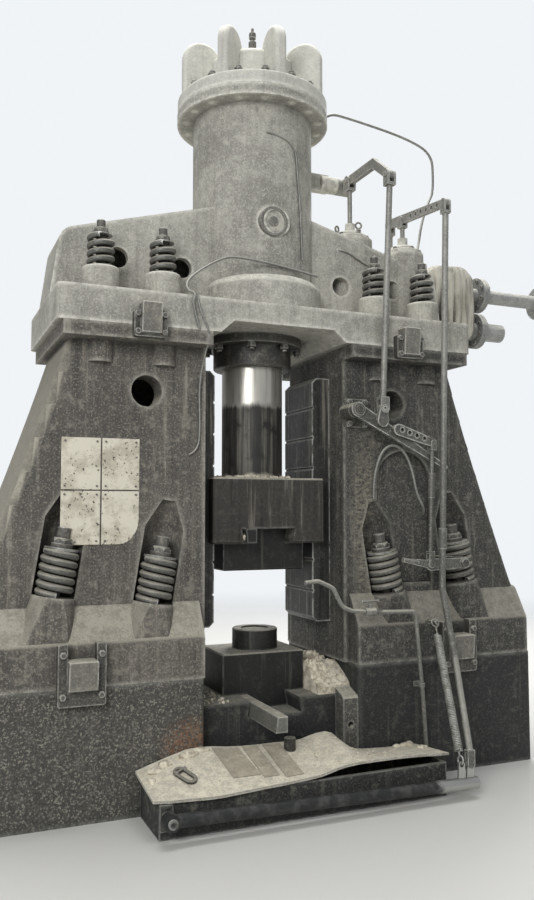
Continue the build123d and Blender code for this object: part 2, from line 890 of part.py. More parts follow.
def ram():
    top = ram_bottom + ram_height
    body = block(-ram_half_width, ram_half_width, -ram_half_depth, ram_half_depth, ram_bottom, top)
    body = chamfer(body.edges(), ram_edge)
    for side in (-1, 1):
        body -= block(side * groove_bottom, side * (ram_half_width + 1), -guide_half_depth - slide_gap,
                      guide_half_depth + slide_gap, ram_bottom - 1, top + 1)
    slot = dovetail(dove_left, dove_right, 0, dove_depth, ram_half_depth + 1)
    body -= Pos(0, 0, ram_bottom) * slot
    return body - upright(rod_radius - 20, top - 160, top + 1)


def upper_die():
    low = ram_bottom - upper_die_height
    body = block(-sow_half_width, sow_half_width, -sow_half_depth, sow_half_depth, low, ram_bottom)
    body = chamfer(body.edges().group_by(Axis.Z)[0], sow_edge)
    tongue = Pos(0, 0, ram_bottom) * dovetail(dove_left + key_width, dove_right - fit_gap, 0,
                                              dove_depth - fit_gap, sow_half_depth)
    cut = block(dove_left - 200, dove_left + key_width, -sow_half_depth - 1, sow_half_depth + 1,
                ram_bottom, ram_bottom + dove_depth + 1)
    return body + (tongue - cut)


def upper_die_key():
    floor = ram_bottom + dove_depth - fit_gap
    low = ram_bottom + fit_gap + key_drop
    points = ((dove_left + fit_gap, low), (dove_left + key_width - fit_gap, low),
              (dove_left + key_width - fit_gap, floor), (dove_left - dove_flare / 2, floor))
    return Pos(0, -die_key_reach / 2, 0) * side_plate(points, 0, 2 * ram_half_depth + die_key_reach)


def piston_rod():
    ram_top = ram_bottom + ram_height
    body = upright(rod_radius - 20 - fit_gap / 2, ram_top - 160, ram_top + 1)
    body += upright(rod_radius, ram_top, piston_bottom + 10)
    head = upright(bore_radius - ring_gap, piston_bottom, piston_bottom + piston_height)
    head = chamfer(head.edges(), 4)
    body += head
    for z in ring_levels():
        groove = upright(bore_radius + 1, z, z + ring_height)
        body -= groove - upright(bore_radius - ring_depth, z - 1, z + ring_height + 1)
    return body


def ring_levels():
    space = piston_height / (ring_count + 1)
    return [piston_bottom + space * (index + 1) - ring_height / 2 for index in range(ring_count)]


def piston_rings():
    rings = []
    for z in ring_levels():
        ring = upright(bore_radius - 0.1, z + 0.1, z + ring_height - 0.1)
        ring -= upright(bore_radius - ring_depth + 0.2, z - 1, z + ring_height + 1)
        rings.append(ring - block(0, bore_radius + 5, -2, 2, z - 1, z + ring_height + 1))
    return group(rings)


# Spring bolts


def top_studs():
    seat = bed_top + top_boss_height
    low = bed_bottom - stand_flange_thickness - top_under_length + 14
    high = seat + top_spring_height + top_nut_height + top_stud_tail
    studs = []
    for x in top_bolt_xs:
        stud = upright(top_stud_radius, low, high, x, -top_bolt_y)
        studs += at_four(chamfer(stud.edges().group_by(Axis.Z)[-1], 4))
    return group(studs)


def top_nuts():
    low = bed_top + top_boss_height + top_spring_height
    nuts = []
    for x in top_bolt_xs:
        nut = upright_hex(top_nut_flats, low, low + top_nut_height, x, -top_bolt_y)
        washer = upright(top_spring_outer * 0.8, low, low + 6, x, -top_bolt_y)
        nuts += at_four((nut + washer) - upright(top_stud_radius + fit_gap, low - 1, low + 90, x,
                                                 -top_bolt_y))
    return group(nuts)


def top_springs():
    seat = bed_top + top_boss_height
    spring = coil_spring(top_spring_outer, top_wire, top_spring_height, top_spring_turns)
    springs = []
    for x in top_bolt_xs:
        for sx in (-1, 1):
            for sy in (-1, 1):
                springs.append(Pos(sx * x, sy * top_bolt_y, seat) * spring)
    return group(springs)


def on_low_bolt(piece, foot):
    """Put a piece that stands on Z = 0 on a lower bolt's spring seat."""
    seat, way = low_axis(foot)
    return Plane(origin=seat, z_dir=way, x_dir=(0, -1, 0)) * piece


def low_studs():
    high = low_spring_height + low_plate + low_collar + low_nut_height + low_stud_tail
    studs = []
    for foot in low_bolt_feet:
        low = -low_seat_to_joint(foot) - low_stud_depth + 4
        stud = low_bar(foot, low, high, low_stud_radius)
        studs += at_four(stud)
    return group(studs)


def low_nuts():
    nuts = []
    plate_top = low_spring_height + low_plate
    nut = upright(low_spring_outer * 0.9, low_spring_height, plate_top)
    nut += upright(low_nut_flats * 0.6, plate_top - 1, plate_top + low_collar)
    nut += upright_hex(low_nut_flats, plate_top + low_collar, plate_top + low_collar + low_nut_height)
    nut -= upright(low_stud_radius + fit_gap, low_spring_height - 1, low_spring_height + 300)
    for foot in low_bolt_feet:
        nuts += at_four(on_low_bolt(nut, foot))
    return group(nuts)


def low_springs():
    spring = coil_spring(low_spring_outer, low_wire, low_spring_height, low_spring_turns)
    springs = []
    for foot in low_bolt_feet:
        springs += at_four(on_low_bolt(spring, foot))
    return group(springs)


# Clamp boxes across the two joints, front and back


def clamps():
    """Place, size, key, key floor and seat face of an upper and a lower clamp box."""
    upper = (upper_clamp_x, upper_clamp_z, upper_clamp_size, upper_key_size, upper_key_floor,
             bed_half_depth)
    lower = (lower_clamp_x, lower_clamp_z, lower_clamp_size, lower_key_size, lower_key_floor,
             anvil_half_depth)
    return upper, lower


def clamp_bolt_places(x, z, size, key):
    """Two bolts in each cheek, above and below the joint."""
    offset = (size[0] + key[0]) / 4
    return [(x + side * offset, z + way * size[2] * clamp_bolt_spread) for side in (-1, 1) for way in (-1, 1)]


def clamp_box(x, z, size, key, floor, face):
    """A cheeked bracket around its key, on the front right."""
    wide, deep, tall = size
    body = block(x - wide / 2, x + wide / 2, -face - deep, -face, z - tall / 2, z + tall / 2)
    body = fillet(body.edges().filter_by(Axis.Y), 14)
    body -= block(x - key[0] / 2 - fit_gap, x + key[0] / 2 + fit_gap, -face - deep - 1, -face + 1, floor,
                  z + tall)
    for bx, bz in clamp_bolt_places(x, z, size, key):
        body -= bar((bx, -face - deep - 1, bz), (bx, -face + 1, bz), clamp_bolt_radius + fit_gap)
    return body


def clamp_key(x, z, size, key, floor, face):
    """Wedge driven down between the cheeks of a clamp box, with its head above it."""
    high = floor + key[2]
    points = ((-face, floor), (-face - key[1] + 16, floor), (-face - key[1], high), (-face, high))
    outline = Plane.YZ * make_face(Polyline(*points, close=True))
    wedge = Pos(x - key[0] / 2, 0, 0) * extrude(outline, key[0])
    return chamfer(wedge.edges().group_by(Axis.Z)[-1], 5)


def cut_clamp_bolts(body):
    """Bolt holes of the clamp boxes, in whatever casting they enter."""
    for x, z, size, key, floor, face in clamps():
        for bx, bz in clamp_bolt_places(x, z, size, key):
            hole = bar((bx, -face - 1, bz), (bx, -face + clamp_bolt_depth, bz), clamp_bolt_radius + fit_gap)
            for piece in at_four(hole):
                body -= piece
    return body


def clamp_bolts():
    bolts = []
    for x, z, size, key, floor, face in clamps():
        seat = -face - size[1]
        for bx, bz in clamp_bolt_places(x, z, size, key):
            bolt = bar((bx, seat, bz), (bx, -face + clamp_bolt_depth - 3, bz), clamp_bolt_radius)
            bolt += Pos(bx, seat, bz) * Rot(90, 0, 0) * upright_hex(clamp_head_flats, 0, clamp_head_height)
            bolts += at_four(bolt)
    return group(bolts)


# Valve covers, their bolts and the pipe flange bolts


def valve_cover(x, y, top):
    """A round cover with a stuffing box for its spindle."""
    body = upright(valve_cover_radius, top, top + valve_cover_thickness, x, y)
    body = fillet(body.edges().group_by(Axis.Z)[-1], 8)
    dome = upright(valve_dome_radius, top + valve_cover_thickness - 5, stuffing_seat(top), x, y)
    body += fillet(dome.edges().group_by(Axis.Z)[-1], 26)
    neck_top = stuffing_seat(top) + stuffing_height
    body += upright(stuffing_radius, stuffing_seat(top) - 5, neck_top, x, y)
    body -= upright(spindle_radius + pin_gap, top - 1, neck_top + 1, x, y)
    for place in cover_bolt_places(x, y):
        body -= upright(cover_bolt_radius + fit_gap, top - 1, top + 100, *place)
    return body


def stuffing_seat(top):
    """Height of the dome under a stuffing box."""
    return top + valve_cover_thickness + valve_dome_height


def cover_bolts():
    bolts = []
    for x, y, top in valve_covers():
        head = top + valve_cover_thickness
        for place in cover_bolt_places(x, y):
            bolts.append(upright(cover_bolt_radius, top - 38, head, *place)
                         + upright_hex(28, head, head + 14, *place))
    for z, joints in ((inlet_z, (wing_end_x, inlet_joint_x)), (exhaust_z, (wing_end_x, exhaust_joint_x))):
        for x in joints:
            for y, level in flange_bolt_places(z):
                bolts.append(flange_bolt(x, y, level))
    return group(bolts)


def flange_bolt(x, y, z):
    """A stud in the chest or a bolt through a pair of pipe flanges."""
    in_chest = x == wing_end_x
    low = x - 48 if in_chest else x - pipe_flange_thickness
    high = x + pipe_flange_thickness
    head = Rot(0, 90, 0) * upright_hex(30, 0, 16)
    bolt = bar((low, y, z), (high, y, z), flange_bolt_radius) + Pos(high, y, z) * head
    return bolt if in_chest else bolt + Pos(low - 16, y, z) * head


# Valve gear


def fork(gap, radius, length, cheek=cheek_thick):
    """Fork with its eye at the origin and its pin's axis along X; the stem goes up."""
    half = gap / 2 + cheek
    body = bar((-half, 0, 0), (half, 0, 0), radius) + block(-half, half, -radius, radius, 0, length)
    body -= block(-gap / 2, gap / 2, -radius - 1, radius + 1, -radius - 1, length - fork_root)
    return body


def pin_x(place, half, radius):
    """A pin along X, centred on a place."""
    x, y, z = place
    return bar((x - half, y, z), (x + half, y, z), radius)


def pin_y(place, half, radius):
    """A pin along Y, centred on a place."""
    x, y, z = place
    return bar((x, y - half, z), (x, y + half, z), radius)


def tapered_bar(start, start_radius, end, end_radius, thickness):
    """A flat bar with round ends of two sizes, in the XZ plane."""
    line = Vector(end[0] - start[0], 0, end[1] - start[1])
    side = Vector(-line.Z, 0, line.X).normalized()
    corners = []
    for place, radius in ((start, start_radius), (end, end_radius)):
        corners.append((place[0] + side.X * radius, place[1] + side.Z * radius))
        corners.append((place[0] - side.X * radius, place[1] - side.Z * radius))
    web = side_plate((corners[0], corners[1], corners[3], corners[2]), 0, thickness)
    half = thickness / 2
    for place, radius in ((start, start_radius), (end, end_radius)):
        web += bar((place[0], -half, place[1]), (place[0], half, place[1]), radius)
    return web


def lever_bracket():
    """Bracket on the cylinder's side, with a bush for the valve lever's shaft."""
    foot = block(cylinder_radius - bracket_root, cylinder_radius + 22, shaft_y - 92, shaft_y + 92,
                 shaft_z - 92, shaft_z + 92)
    foot = fillet(foot.edges().filter_by(Axis.X), 20)
    arm = block(cylinder_radius - bracket_root + 10, bracket_reach - 60, shaft_y - 26, shaft_y + 26,
                shaft_z - bracket_height / 2,
                shaft_z + bracket_height / 2)
    bush = bar((bracket_reach - bracket_depth, shaft_y, shaft_z), (bracket_reach, shaft_y, shaft_z),
               hub_outer)
    body = foot + arm + bush
    body -= upright(cylinder_radius, shaft_z - 200, shaft_z + 200)
    return body - bar((bracket_reach - bracket_depth - 1, shaft_y, shaft_z),
                      (bracket_reach + 1, shaft_y, shaft_z), shaft_radius + pin_gap)


def valve_lever():
    hub_half = lever_x - bracket_reach - 2
    body = bar((lever_x - hub_half, shaft_y, shaft_z), (lever_x + hub_half, shaft_y, shaft_z), hub_outer)
    body += bar((bracket_reach - bracket_depth, shaft_y, shaft_z),
                (lever_x + hub_half + 18, shaft_y, shaft_z),
                shaft_radius)
    body += side_bar(shaft_y, shaft_z, elbow_y, elbow_z, lever_x, lever_height, lever_thick)
    body += side_bar(elbow_y, elbow_z, rod_top_y, rod_top_z, lever_x, lever_height * 0.9, lever_thick)
    body -= pin_x((lever_x, rod_top_y, rod_top_z), lever_thick, eye_pin + pin_gap)
    return body - pin_x((lever_x, chest_y, valve_pin_z()), lever_thick, eye_pin + slip_gap)


def valve_pin_z():
    """Height of the valve spindle's pin, on the lever's centre line."""
    return shaft_z + (elbow_z - shaft_z) * (shaft_y - chest_y) / (shaft_y - elbow_y)


def valve_link():
    """Fork and spindle that carry the slide valve."""
    gap = lever_thick + 2 * cheek_gap
    body = Pos(lever_x, chest_y, valve_pin_z()) * Rot(180, 0, 0) * fork(gap, eye_radius, link_fork_length)
    body += pin_x((lever_x, chest_y, valve_pin_z()), gap / 2 + cheek_thick + 6, eye_pin)
    return body + upright(spindle_radius, slide_low + 12, valve_pin_z() - link_fork_length + 2, lever_x,
                          chest_y)


def slide_valve():
    """Spool that lets the air to one side of the piston or the other."""
    body = upright(valve_bore - fit_gap, slide_low, slide_low + slide_length, lever_x, chest_y)
    waist = upright(valve_bore + 1, slide_low + 70, slide_low + slide_length - 70, lever_x, chest_y)
    body -= waist - upright(valve_bore * 0.55, slide_low, slide_low + slide_length, lever_x, chest_y)
    return body - upright(spindle_radius + pin_gap, slide_low + 10, slide_low + slide_length + 1, lever_x,
                          chest_y)


def valve_rod():
    gap = lever_thick + 2 * cheek_gap
    top = (lever_x, rod_top_y, rod_top_z)
    low = (curve_rod_x, plate_y, curve_rod_z)
    body = Pos(*top) * Rot(180, 0, 0) * fork(gap, eye_radius * 0.85, link_fork_length)
    body += pin_x(top, gap / 2 + cheek_thick + 6, eye_pin)
    low_gap = plate_thick + 2 * cheek_gap
    foot = Pos(*low) * Rot(0, 0, 90) * fork(low_gap, eye_radius * 0.85, link_fork_length)
    body += foot - pin_y(low, low_gap, eye_pin + open_gap)
    stem_top = (lever_x, rod_top_y, rod_top_z - link_fork_length + 4)
    stem_low = (curve_rod_x, plate_y, curve_rod_z + link_fork_length - 4)
    return body + bar(stem_low, stem_top, valve_rod_radius)


def curved_lever():
    """Straight tapered lever with a drilled plate and a lug welded on its front."""
    pivot = (curve_pivot_x, curve_pivot_z)
    body = Pos(0, curve_y, 0) * tapered_bar(pivot, curve_height / 2, (curve_tail_x, curve_tail_z), 14,
                                            curve_thick)
    plate = tapered_bar((curve_knee_x, curve_knee_z), curve_height * 0.42, (curve_end_x, curve_end_z), 27,
                        plate_thick)
    plate += tapered_bar((curve_rod_x, curve_rod_z), 28, (curve_rod_x - 8, curve_rod_z - 78), 38,
                         plate_thick)
    body += Pos(0, plate_y, 0) * plate
    hub_half = curve_thick / 2 + 10
    body += pin_y((curve_pivot_x, curve_y, curve_pivot_z), hub_half, pedestal_radius)
    body -= pin_y((curve_pivot_x, curve_y, curve_pivot_z), hub_half + 1, pedestal_pin + pin_gap)
    body -= pin_y((curve_end_x, plate_y, curve_end_z), plate_thick, hand_pin_radius + pin_gap)
    body -= pin_y((curve_tail_x, curve_y, curve_tail_z), curve_thick, 7)
    for index in range(adjust_count):
        part = 0.09 + index * 0.215
        x = curve_knee_x + (curve_end_x - curve_knee_x) * part
        z = curve_knee_z + (curve_end_z - curve_knee_z) * part + 6
        body -= pin_y((x, plate_y, z), plate_thick * 2, adjust_hole)
    return body + pin_y((curve_rod_x, plate_y, curve_rod_z),
                        plate_thick / 2 + cheek_gap + cheek_thick - 2, eye_pin)


def curved_lever_pedestal():
    face = -stand_half_depth
    seat = curve_y + curve_thick / 2 + 12
    front = curve_y - curve_thick / 2 - 12
    plate = block(stand_inner + 6, stand_inner + 165, face - 16, face, curve_pivot_z - 95,
                  curve_pivot_z + 85)
    plate = fillet(plate.edges().filter_by(Axis.Y), 12)
    column = bar((curve_pivot_x, seat, curve_pivot_z), (curve_pivot_x, face - 2, curve_pivot_z),
                 pedestal_radius)
    body = plate + column
    body += bar((curve_pivot_x, front - 16, curve_pivot_z), (curve_pivot_x, seat + 1, curve_pivot_z),
                pedestal_pin)
    cap = bar((curve_pivot_x, front - 14, curve_pivot_z), (curve_pivot_x, front, curve_pivot_z),
              pedestal_pin + 14)
    return body + cap


def hand_link():
    """Turnbuckle link between the curved lever and the hand lever."""
    gap = plate_thick + 2 * cheek_gap
    top = (curve_end_x, plate_y, curve_end_z)
    low = (hand_pin_x, plate_y, hand_pin_z)
    body = Pos(*top) * Rot(180, 0, 90) * fork(gap, hand_eye, hand_fork_length, hand_cheek)
    body += pin_y(top, gap / 2 + hand_cheek, hand_pin_radius)
    low_gap = hand_thick + 2 * cheek_gap
    body += Pos(*low) * Rot(0, 0, 90) * fork(low_gap, hand_eye, link_fork_length + 14, hand_cheek)
    body += pin_y(low, low_gap / 2 + hand_cheek, hand_pin_radius)
    body += bar((hand_pin_x, plate_y, hand_pin_z + link_fork_length + 10),
                (curve_end_x, plate_y, curve_end_z - hand_fork_length + 4), hand_link_radius)
    lean_x = (curve_end_x - hand_pin_x) / (curve_end_z - hand_pin_z)
    low_x = hand_pin_x + lean_x * (hand_sleeve_low - hand_pin_z)
    high_x = hand_pin_x + lean_x * (hand_sleeve_high - hand_pin_z)
    return body + bar((low_x, plate_y, hand_sleeve_low), (high_x, plate_y, hand_sleeve_high),
                      hand_sleeve_radius)


def hand_lever():
    hub = (hand_hub_x, hand_z)
    pin = (hand_pin_x, hand_pin_z)
    tip = (hand_tip_x, hand_tip_z)
    body = tapered_bar(hub, 30, pin, 37, hand_thick) + tapered_bar(pin, 26, tip, 13, hand_thick)
    half = hand_thick / 2 + 6
    body += bar((hub[0], -half, hub[1]), (hub[0], half, hub[1]), 34)
    body -= pin_y((hand_hub_x, 0, hand_z), 40, hand_hub_pin + pin_gap)
    slot = SlotOverall(2 * (hand_pin_radius + hand_slot), 2 * (hand_pin_radius + 3))
    body -= Pos(pin[0], 0, pin[1]) * extrude(Plane.XZ * slot, hand_thick, both=True)
    grip_start = Vector(tip[0] + 95, 0, tip[1] - 15)
    body += bar(grip_start, Vector(tip[0] - 12, 0, tip[1] + 2), 15)
    return Pos(0, plate_y, 0) * body


def hand_lever_bracket():
    seat = plate_y + hand_thick / 2 + 8
    front = plate_y - hand_thick / 2 - 8
    post = block(hand_post_x, hand_post_x + 68, seat, -stand_half_depth, hand_z - 42, hand_z + 42)
    plate = block(hand_post_x, hand_hub_x + 32, seat, seat + 26, hand_z - 36, hand_z + 36)
    body = fillet(post.edges().filter_by(Axis.Y), 8) + plate
    body += pin_y((hand_hub_x, (front + seat) / 2, hand_z), (seat - front) / 2 + 14, hand_hub_pin)
    return body + bar((hand_hub_x, front - 14, hand_z), (hand_hub_x, front, hand_z), hand_hub_pin + 10)


# Throttle gear and treadle


def throttle_line(y):
    """Height of the throttle lever's centre line."""
    return post_z + (y - post_y) * (post_z - throttle_tip_z) / (post_y - throttle_tip_y)


def throttle_post():
    gap = throttle_thick + 2 * cheek_gap
    body = Pos(throttle_x, post_y, post_z) * Rot(180, 0, 0) * fork(gap, 26, 84)
    body += pin_x((throttle_x, post_y, post_z), gap / 2 + cheek_thick + 5, eye_pin)
    body += upright(post_radius, throttle_chest_top - 38, post_z - 80, throttle_x, post_y)
    return body + upright_hex(42, throttle_chest_top, throttle_chest_top + 22, throttle_x, post_y)


def throttle_lever():
    start = (post_y, post_z)
    end = (throttle_tip_y, throttle_tip_z)
    flat = tapered_bar(start, throttle_height / 2, end, throttle_height * 0.4, throttle_thick)
    body = Pos(throttle_x, 0, 0) * Rot(0, 0, 90) * flat
    half = throttle_thick
    body -= pin_x((throttle_x, post_y, post_z), half, eye_pin + pin_gap)
    body -= pin_x((throttle_x, throttle_y, throttle_line(throttle_y)), half, eye_pin + slip_gap)
    body -= pin_x((throttle_x, throttle_tip_y, throttle_tip_z), half, eye_pin + pin_gap)
    for index in range(throttle_hole_count):
        y = throttle_first_hole - index * throttle_hole_step
        body -= pin_x((throttle_x, y, throttle_line(y)), half, throttle_hole)
    return body


def throttle_spindle():
    gap = throttle_thick + 2 * cheek_gap
    z = throttle_line(throttle_y)
    body = Pos(throttle_x, throttle_y, z) * Rot(180, 0, 0) * fork(gap, 26, 62)
    body += pin_x((throttle_x, throttle_y, z), gap / 2 + cheek_thick + 5, eye_pin)
    body += upright(spindle_radius, throttle_valve_z, z - 60, throttle_x, throttle_y)
    disc = upright(valve_bore * 0.7 - 3, throttle_valve_z - 24, throttle_valve_z + 4, throttle_x,
                   throttle_y)
    return body + disc


def pull_rod():
    """Long rod from the throttle lever down to the treadle, with a coupling sleeve."""
    top = (throttle_x, throttle_tip_y, throttle_tip_z)
    gap = throttle_thick + 2 * cheek_gap
    body = Pos(*top) * Rot(180, 0, 0) * fork(gap, 27, 72, 10)
    body += pin_x(top, gap / 2 + 10, eye_pin)
    path = FilletPolyline(*pull_route, radius=90)
    body += sweep(Plane(origin=path @ 0, z_dir=path % 0) * Circle(pull_rod_radius), path=path)
    upper, knee = Vector(*pull_route[0]), Vector(*pull_route[1])
    for part_low, part_high, radius in ((pull_sleeve_low, pull_sleeve_high, pull_rod_radius + 7),):
        a = knee + (upper - knee) * ((part_low - knee.Z) / (upper.Z - knee.Z))
        b = knee + (upper - knee) * ((part_high - knee.Z) / (upper.Z - knee.Z))
        body += bar(a, b, radius)
    low = (pull_route[-1][0], treadle_y, treadle_lug_z)
    low_gap = treadle_lug_thick + 2 * cheek_gap
    body += Pos(*low) * Rot(0, 0, 90) * fork(low_gap, 24, pull_route[-1][2] - treadle_lug_z + 6, 10)
    return body + pin_y(low, low_gap / 2 + 10, 10)


def treadle_line(x):
    """Height of the treadle bar's axis."""
    part = (x - treadle_left_x) / (treadle_right_x - treadle_left_x)
    return treadle_left_z + (treadle_right_z - treadle_left_z) * part


def treadle_bar():
    right = (treadle_right_x, treadle_y, treadle_right_z)
    grip_x = treadle_right_x - treadle_grip_length
    body = bar((treadle_left_x, treadle_y, treadle_left_z), right, treadle_radius)
    body += bar((grip_x, treadle_y, treadle_line(grip_x)), right, treadle_grip)
    body = fillet(body.edges().group_by(Axis.X)[-1], 6)
    body += pin_y((treadle_left_x, treadle_y, treadle_left_z), treadle_eye_half, treadle_radius + 9)
    for x, hole in ((spring_foot_place[0], spring_hole), (pull_route[-1][0], 10 + open_gap + 1)):
        low = treadle_line(x)
        lug = Pos(0, treadle_y, 0) * tapered_bar((x, low), 26, (x, treadle_lug_z), hole + 6.5,
                                                 treadle_lug_thick)
        body += lug - pin_y((x, treadle_y, treadle_lug_z), treadle_lug_thick, hole)
    return body - pin_y((treadle_left_x, treadle_y, treadle_left_z), 60, treadle_pin + pin_gap)


def treadle_bracket():
    plate = block(step_left, step_left + 70, step_front - 12, step_front, 44, step_height - plate_thickness)
    plate = fillet(plate.edges().filter_by(Axis.Y), 8)
    seat = treadle_y + treadle_eye_half + 2
    front = treadle_y - treadle_eye_half - 2
    body = plate + bar((treadle_left_x, seat, treadle_left_z),
                       (treadle_left_x, step_front - 6, treadle_left_z), 27)
    body += bar((treadle_left_x, front - 8, treadle_left_z), (treadle_left_x, seat + 2, treadle_left_z),
                treadle_pin)
    return body + bar((treadle_left_x, front - 10, treadle_left_z),
                      (treadle_left_x, front, treadle_left_z), 25)


def treadle_spring():
    """Close-wound pull spring, drawn as its outer tube with an eye at each end."""
    top, low = Vector(*spring_hook_place), Vector(*spring_foot_place)
    way = (top - low).normalized()
    start = low + way * spring_hook_length
    end = top - way * spring_hook_length
    body = bar(start, end, spring_outer) - bar(start - way, end + way, spring_inner)
    for place, out, rise in ((start, -way, 0), (end, way, spring_eye_rise)):
        body += bar(place - out, place + out * 5, spring_outer)
        eye_far = spring_hook_length + rise
        body += bar(place, place + out * (eye_far - 2 * spring_eye), spring_wire)
        across = Vector(0, 1, 0) if rise == 0 else Vector(1, 0, 0)
        body += Plane(origin=place + out * (eye_far - spring_eye), z_dir=way.cross(across)) * Torus(
            spring_eye, spring_wire)
    return body


def spring_hook():
    """Eye bolt in the anvil's face that holds the treadle spring."""
    x, y, z = spring_hook_place
    body = bar((x, -anvil_half_depth, z), (x, y - 22, z), 8)
    body += bar((x, -anvil_half_depth - 12, z), (x, -anvil_half_depth, z), 20)
    return body + bar((x, y - 24, z), (x, y - 18, z), 13)


# Step before the anvil


def step_box():
    body = block(step_left, step_right, step_front, step_back, 0, step_height)
    return body - block(step_left + step_wall, step_right - step_wall, step_front + step_wall,
                        step_back - step_wall, -1, step_height + 1)


def step_plate():
    """Loose bent plate that lies on the step box."""
    sections = []
    for x, front_y, front_rise, back_rise in plate_stations:
        low = step_height + front_rise
        high = step_height + back_rise
        corners = ((front_y, low), (plate_back, high), (plate_back, high + plate_thickness),
                   (front_y, low + plate_thickness))
        outline = Polyline(*[(x, y, z) for y, z in corners], close=True)
        sections.append(make_face(outline))
    body = loft(sections, ruled=True)
    return body - block(step_left, step_right, step_front, step_back, 0, step_height)


# Pipes and their lagging


def flanged_pipe(z, radius, joint_x, end_x, end_flange):
    """Pipe along X from the chest, with a flange pair on its way."""
    body = bar((wing_end_x, pipe_y, z), (end_x, pipe_y, z), radius)
    joint_reach = pipe_flange_thickness + 1
    spans = [(wing_end_x, wing_end_x + pipe_flange_thickness),
             (joint_x - pipe_flange_thickness, joint_x + pipe_flange_thickness)]
    if end_flange:
        spans.append((end_x - pipe_flange_thickness, end_x))
    for low, high in spans:
        body += bar((low, pipe_y, z), (high, pipe_y, z), pipe_flange_radius)
    groove = bar((joint_x - 1.5, pipe_y, z), (joint_x + 1.5, pipe_y, z), pipe_flange_radius + 1)
    body -= groove - bar((joint_x - 2, pipe_y, z), (joint_x + 2, pipe_y, z), pipe_flange_radius - 12)
    body -= bar((wing_end_x - 1, pipe_y, z), (end_x + 1, pipe_y, z), radius - pipe_wall)
    for y, level in flange_bolt_places(z):
        body -= bar((wing_end_x - 1, y, level), (joint_x + joint_reach, y, level),
                    flange_bolt_radius + fit_gap)
    for y, level in flange_bolt_places(z, end_bolt_circle, 0):
        body -= bar((end_x - joint_reach, y, level), (end_x + 1, y, level), flange_bolt_radius + fit_gap)
    return body


def pipe_lagging():
    """Lagging cloth wrapped over both pipes between the chest and the flanges."""
    body = Pos(blanket_x, pipe_y, blanket_z) * Box(*blanket_size)
    body = fillet(body.edges().filter_by(Axis.X), blanket_round)
    body = fillet(body.edges().group_by(Axis.X)[0] + body.edges().group_by(Axis.X)[-1], 30)
    for z, radius in ((inlet_z, inlet_radius), (exhaust_z, exhaust_radius)):
        body -= bar((wing_end_x, pipe_y, z), (inlet_end_x, pipe_y, z), radius + blanket_gap)
    return body


# Air pipe at the die, with its valve


def blow_pipe():
    path = FilletPolyline(*blow_route, radius=blow_bends)
    tube = sweep(Plane(origin=path @ 0, z_dir=path % 0) * Circle(blow_radius), path=path)
    foot = blow_route[-1]
    tube += upright(30, 0, 34, foot[0], foot[1]) + upright(20, 30, 70, foot[0], foot[1])
    x, y, z = blow_clip_place
    tube += upright(blow_clip_radius, z - 11, z + 11, x, y)
    tube += block(x - 5, x + 5, y, -anvil_half_depth, z - 11, z + 11)
    return tube + block(x - 28, x + 28, -anvil_half_depth - 6, -anvil_half_depth, z - 16, z + 16)


def blow_valve():
    y = blow_y
    body = bar((blow_valve_x - 34, y, blow_valve_z), (blow_valve_x + 34, y, blow_valve_z), 24)
    body += upright(13, blow_valve_z, blow_valve_z + 46, blow_valve_x, y)
    body -= upright(7 + pin_gap, blow_valve_z + 20, blow_valve_z + 60, blow_valve_x, y)
    return body - bar(blow_route[4], blow_route[5], blow_radius + pin_gap)


def blow_valve_handle():
    y = blow_y
    top = blow_valve_z + 62
    body = upright(7, blow_valve_z + 22, top, blow_valve_x, y)
    return body + bar((blow_valve_x - 58, y, top), (blow_valve_x + 58, y, top), 8)


right_clamp_boxes = [clamp_box(*place) for place in clamps()]
right_clamp_keys = [clamp_key(*place) for place in clamps()]

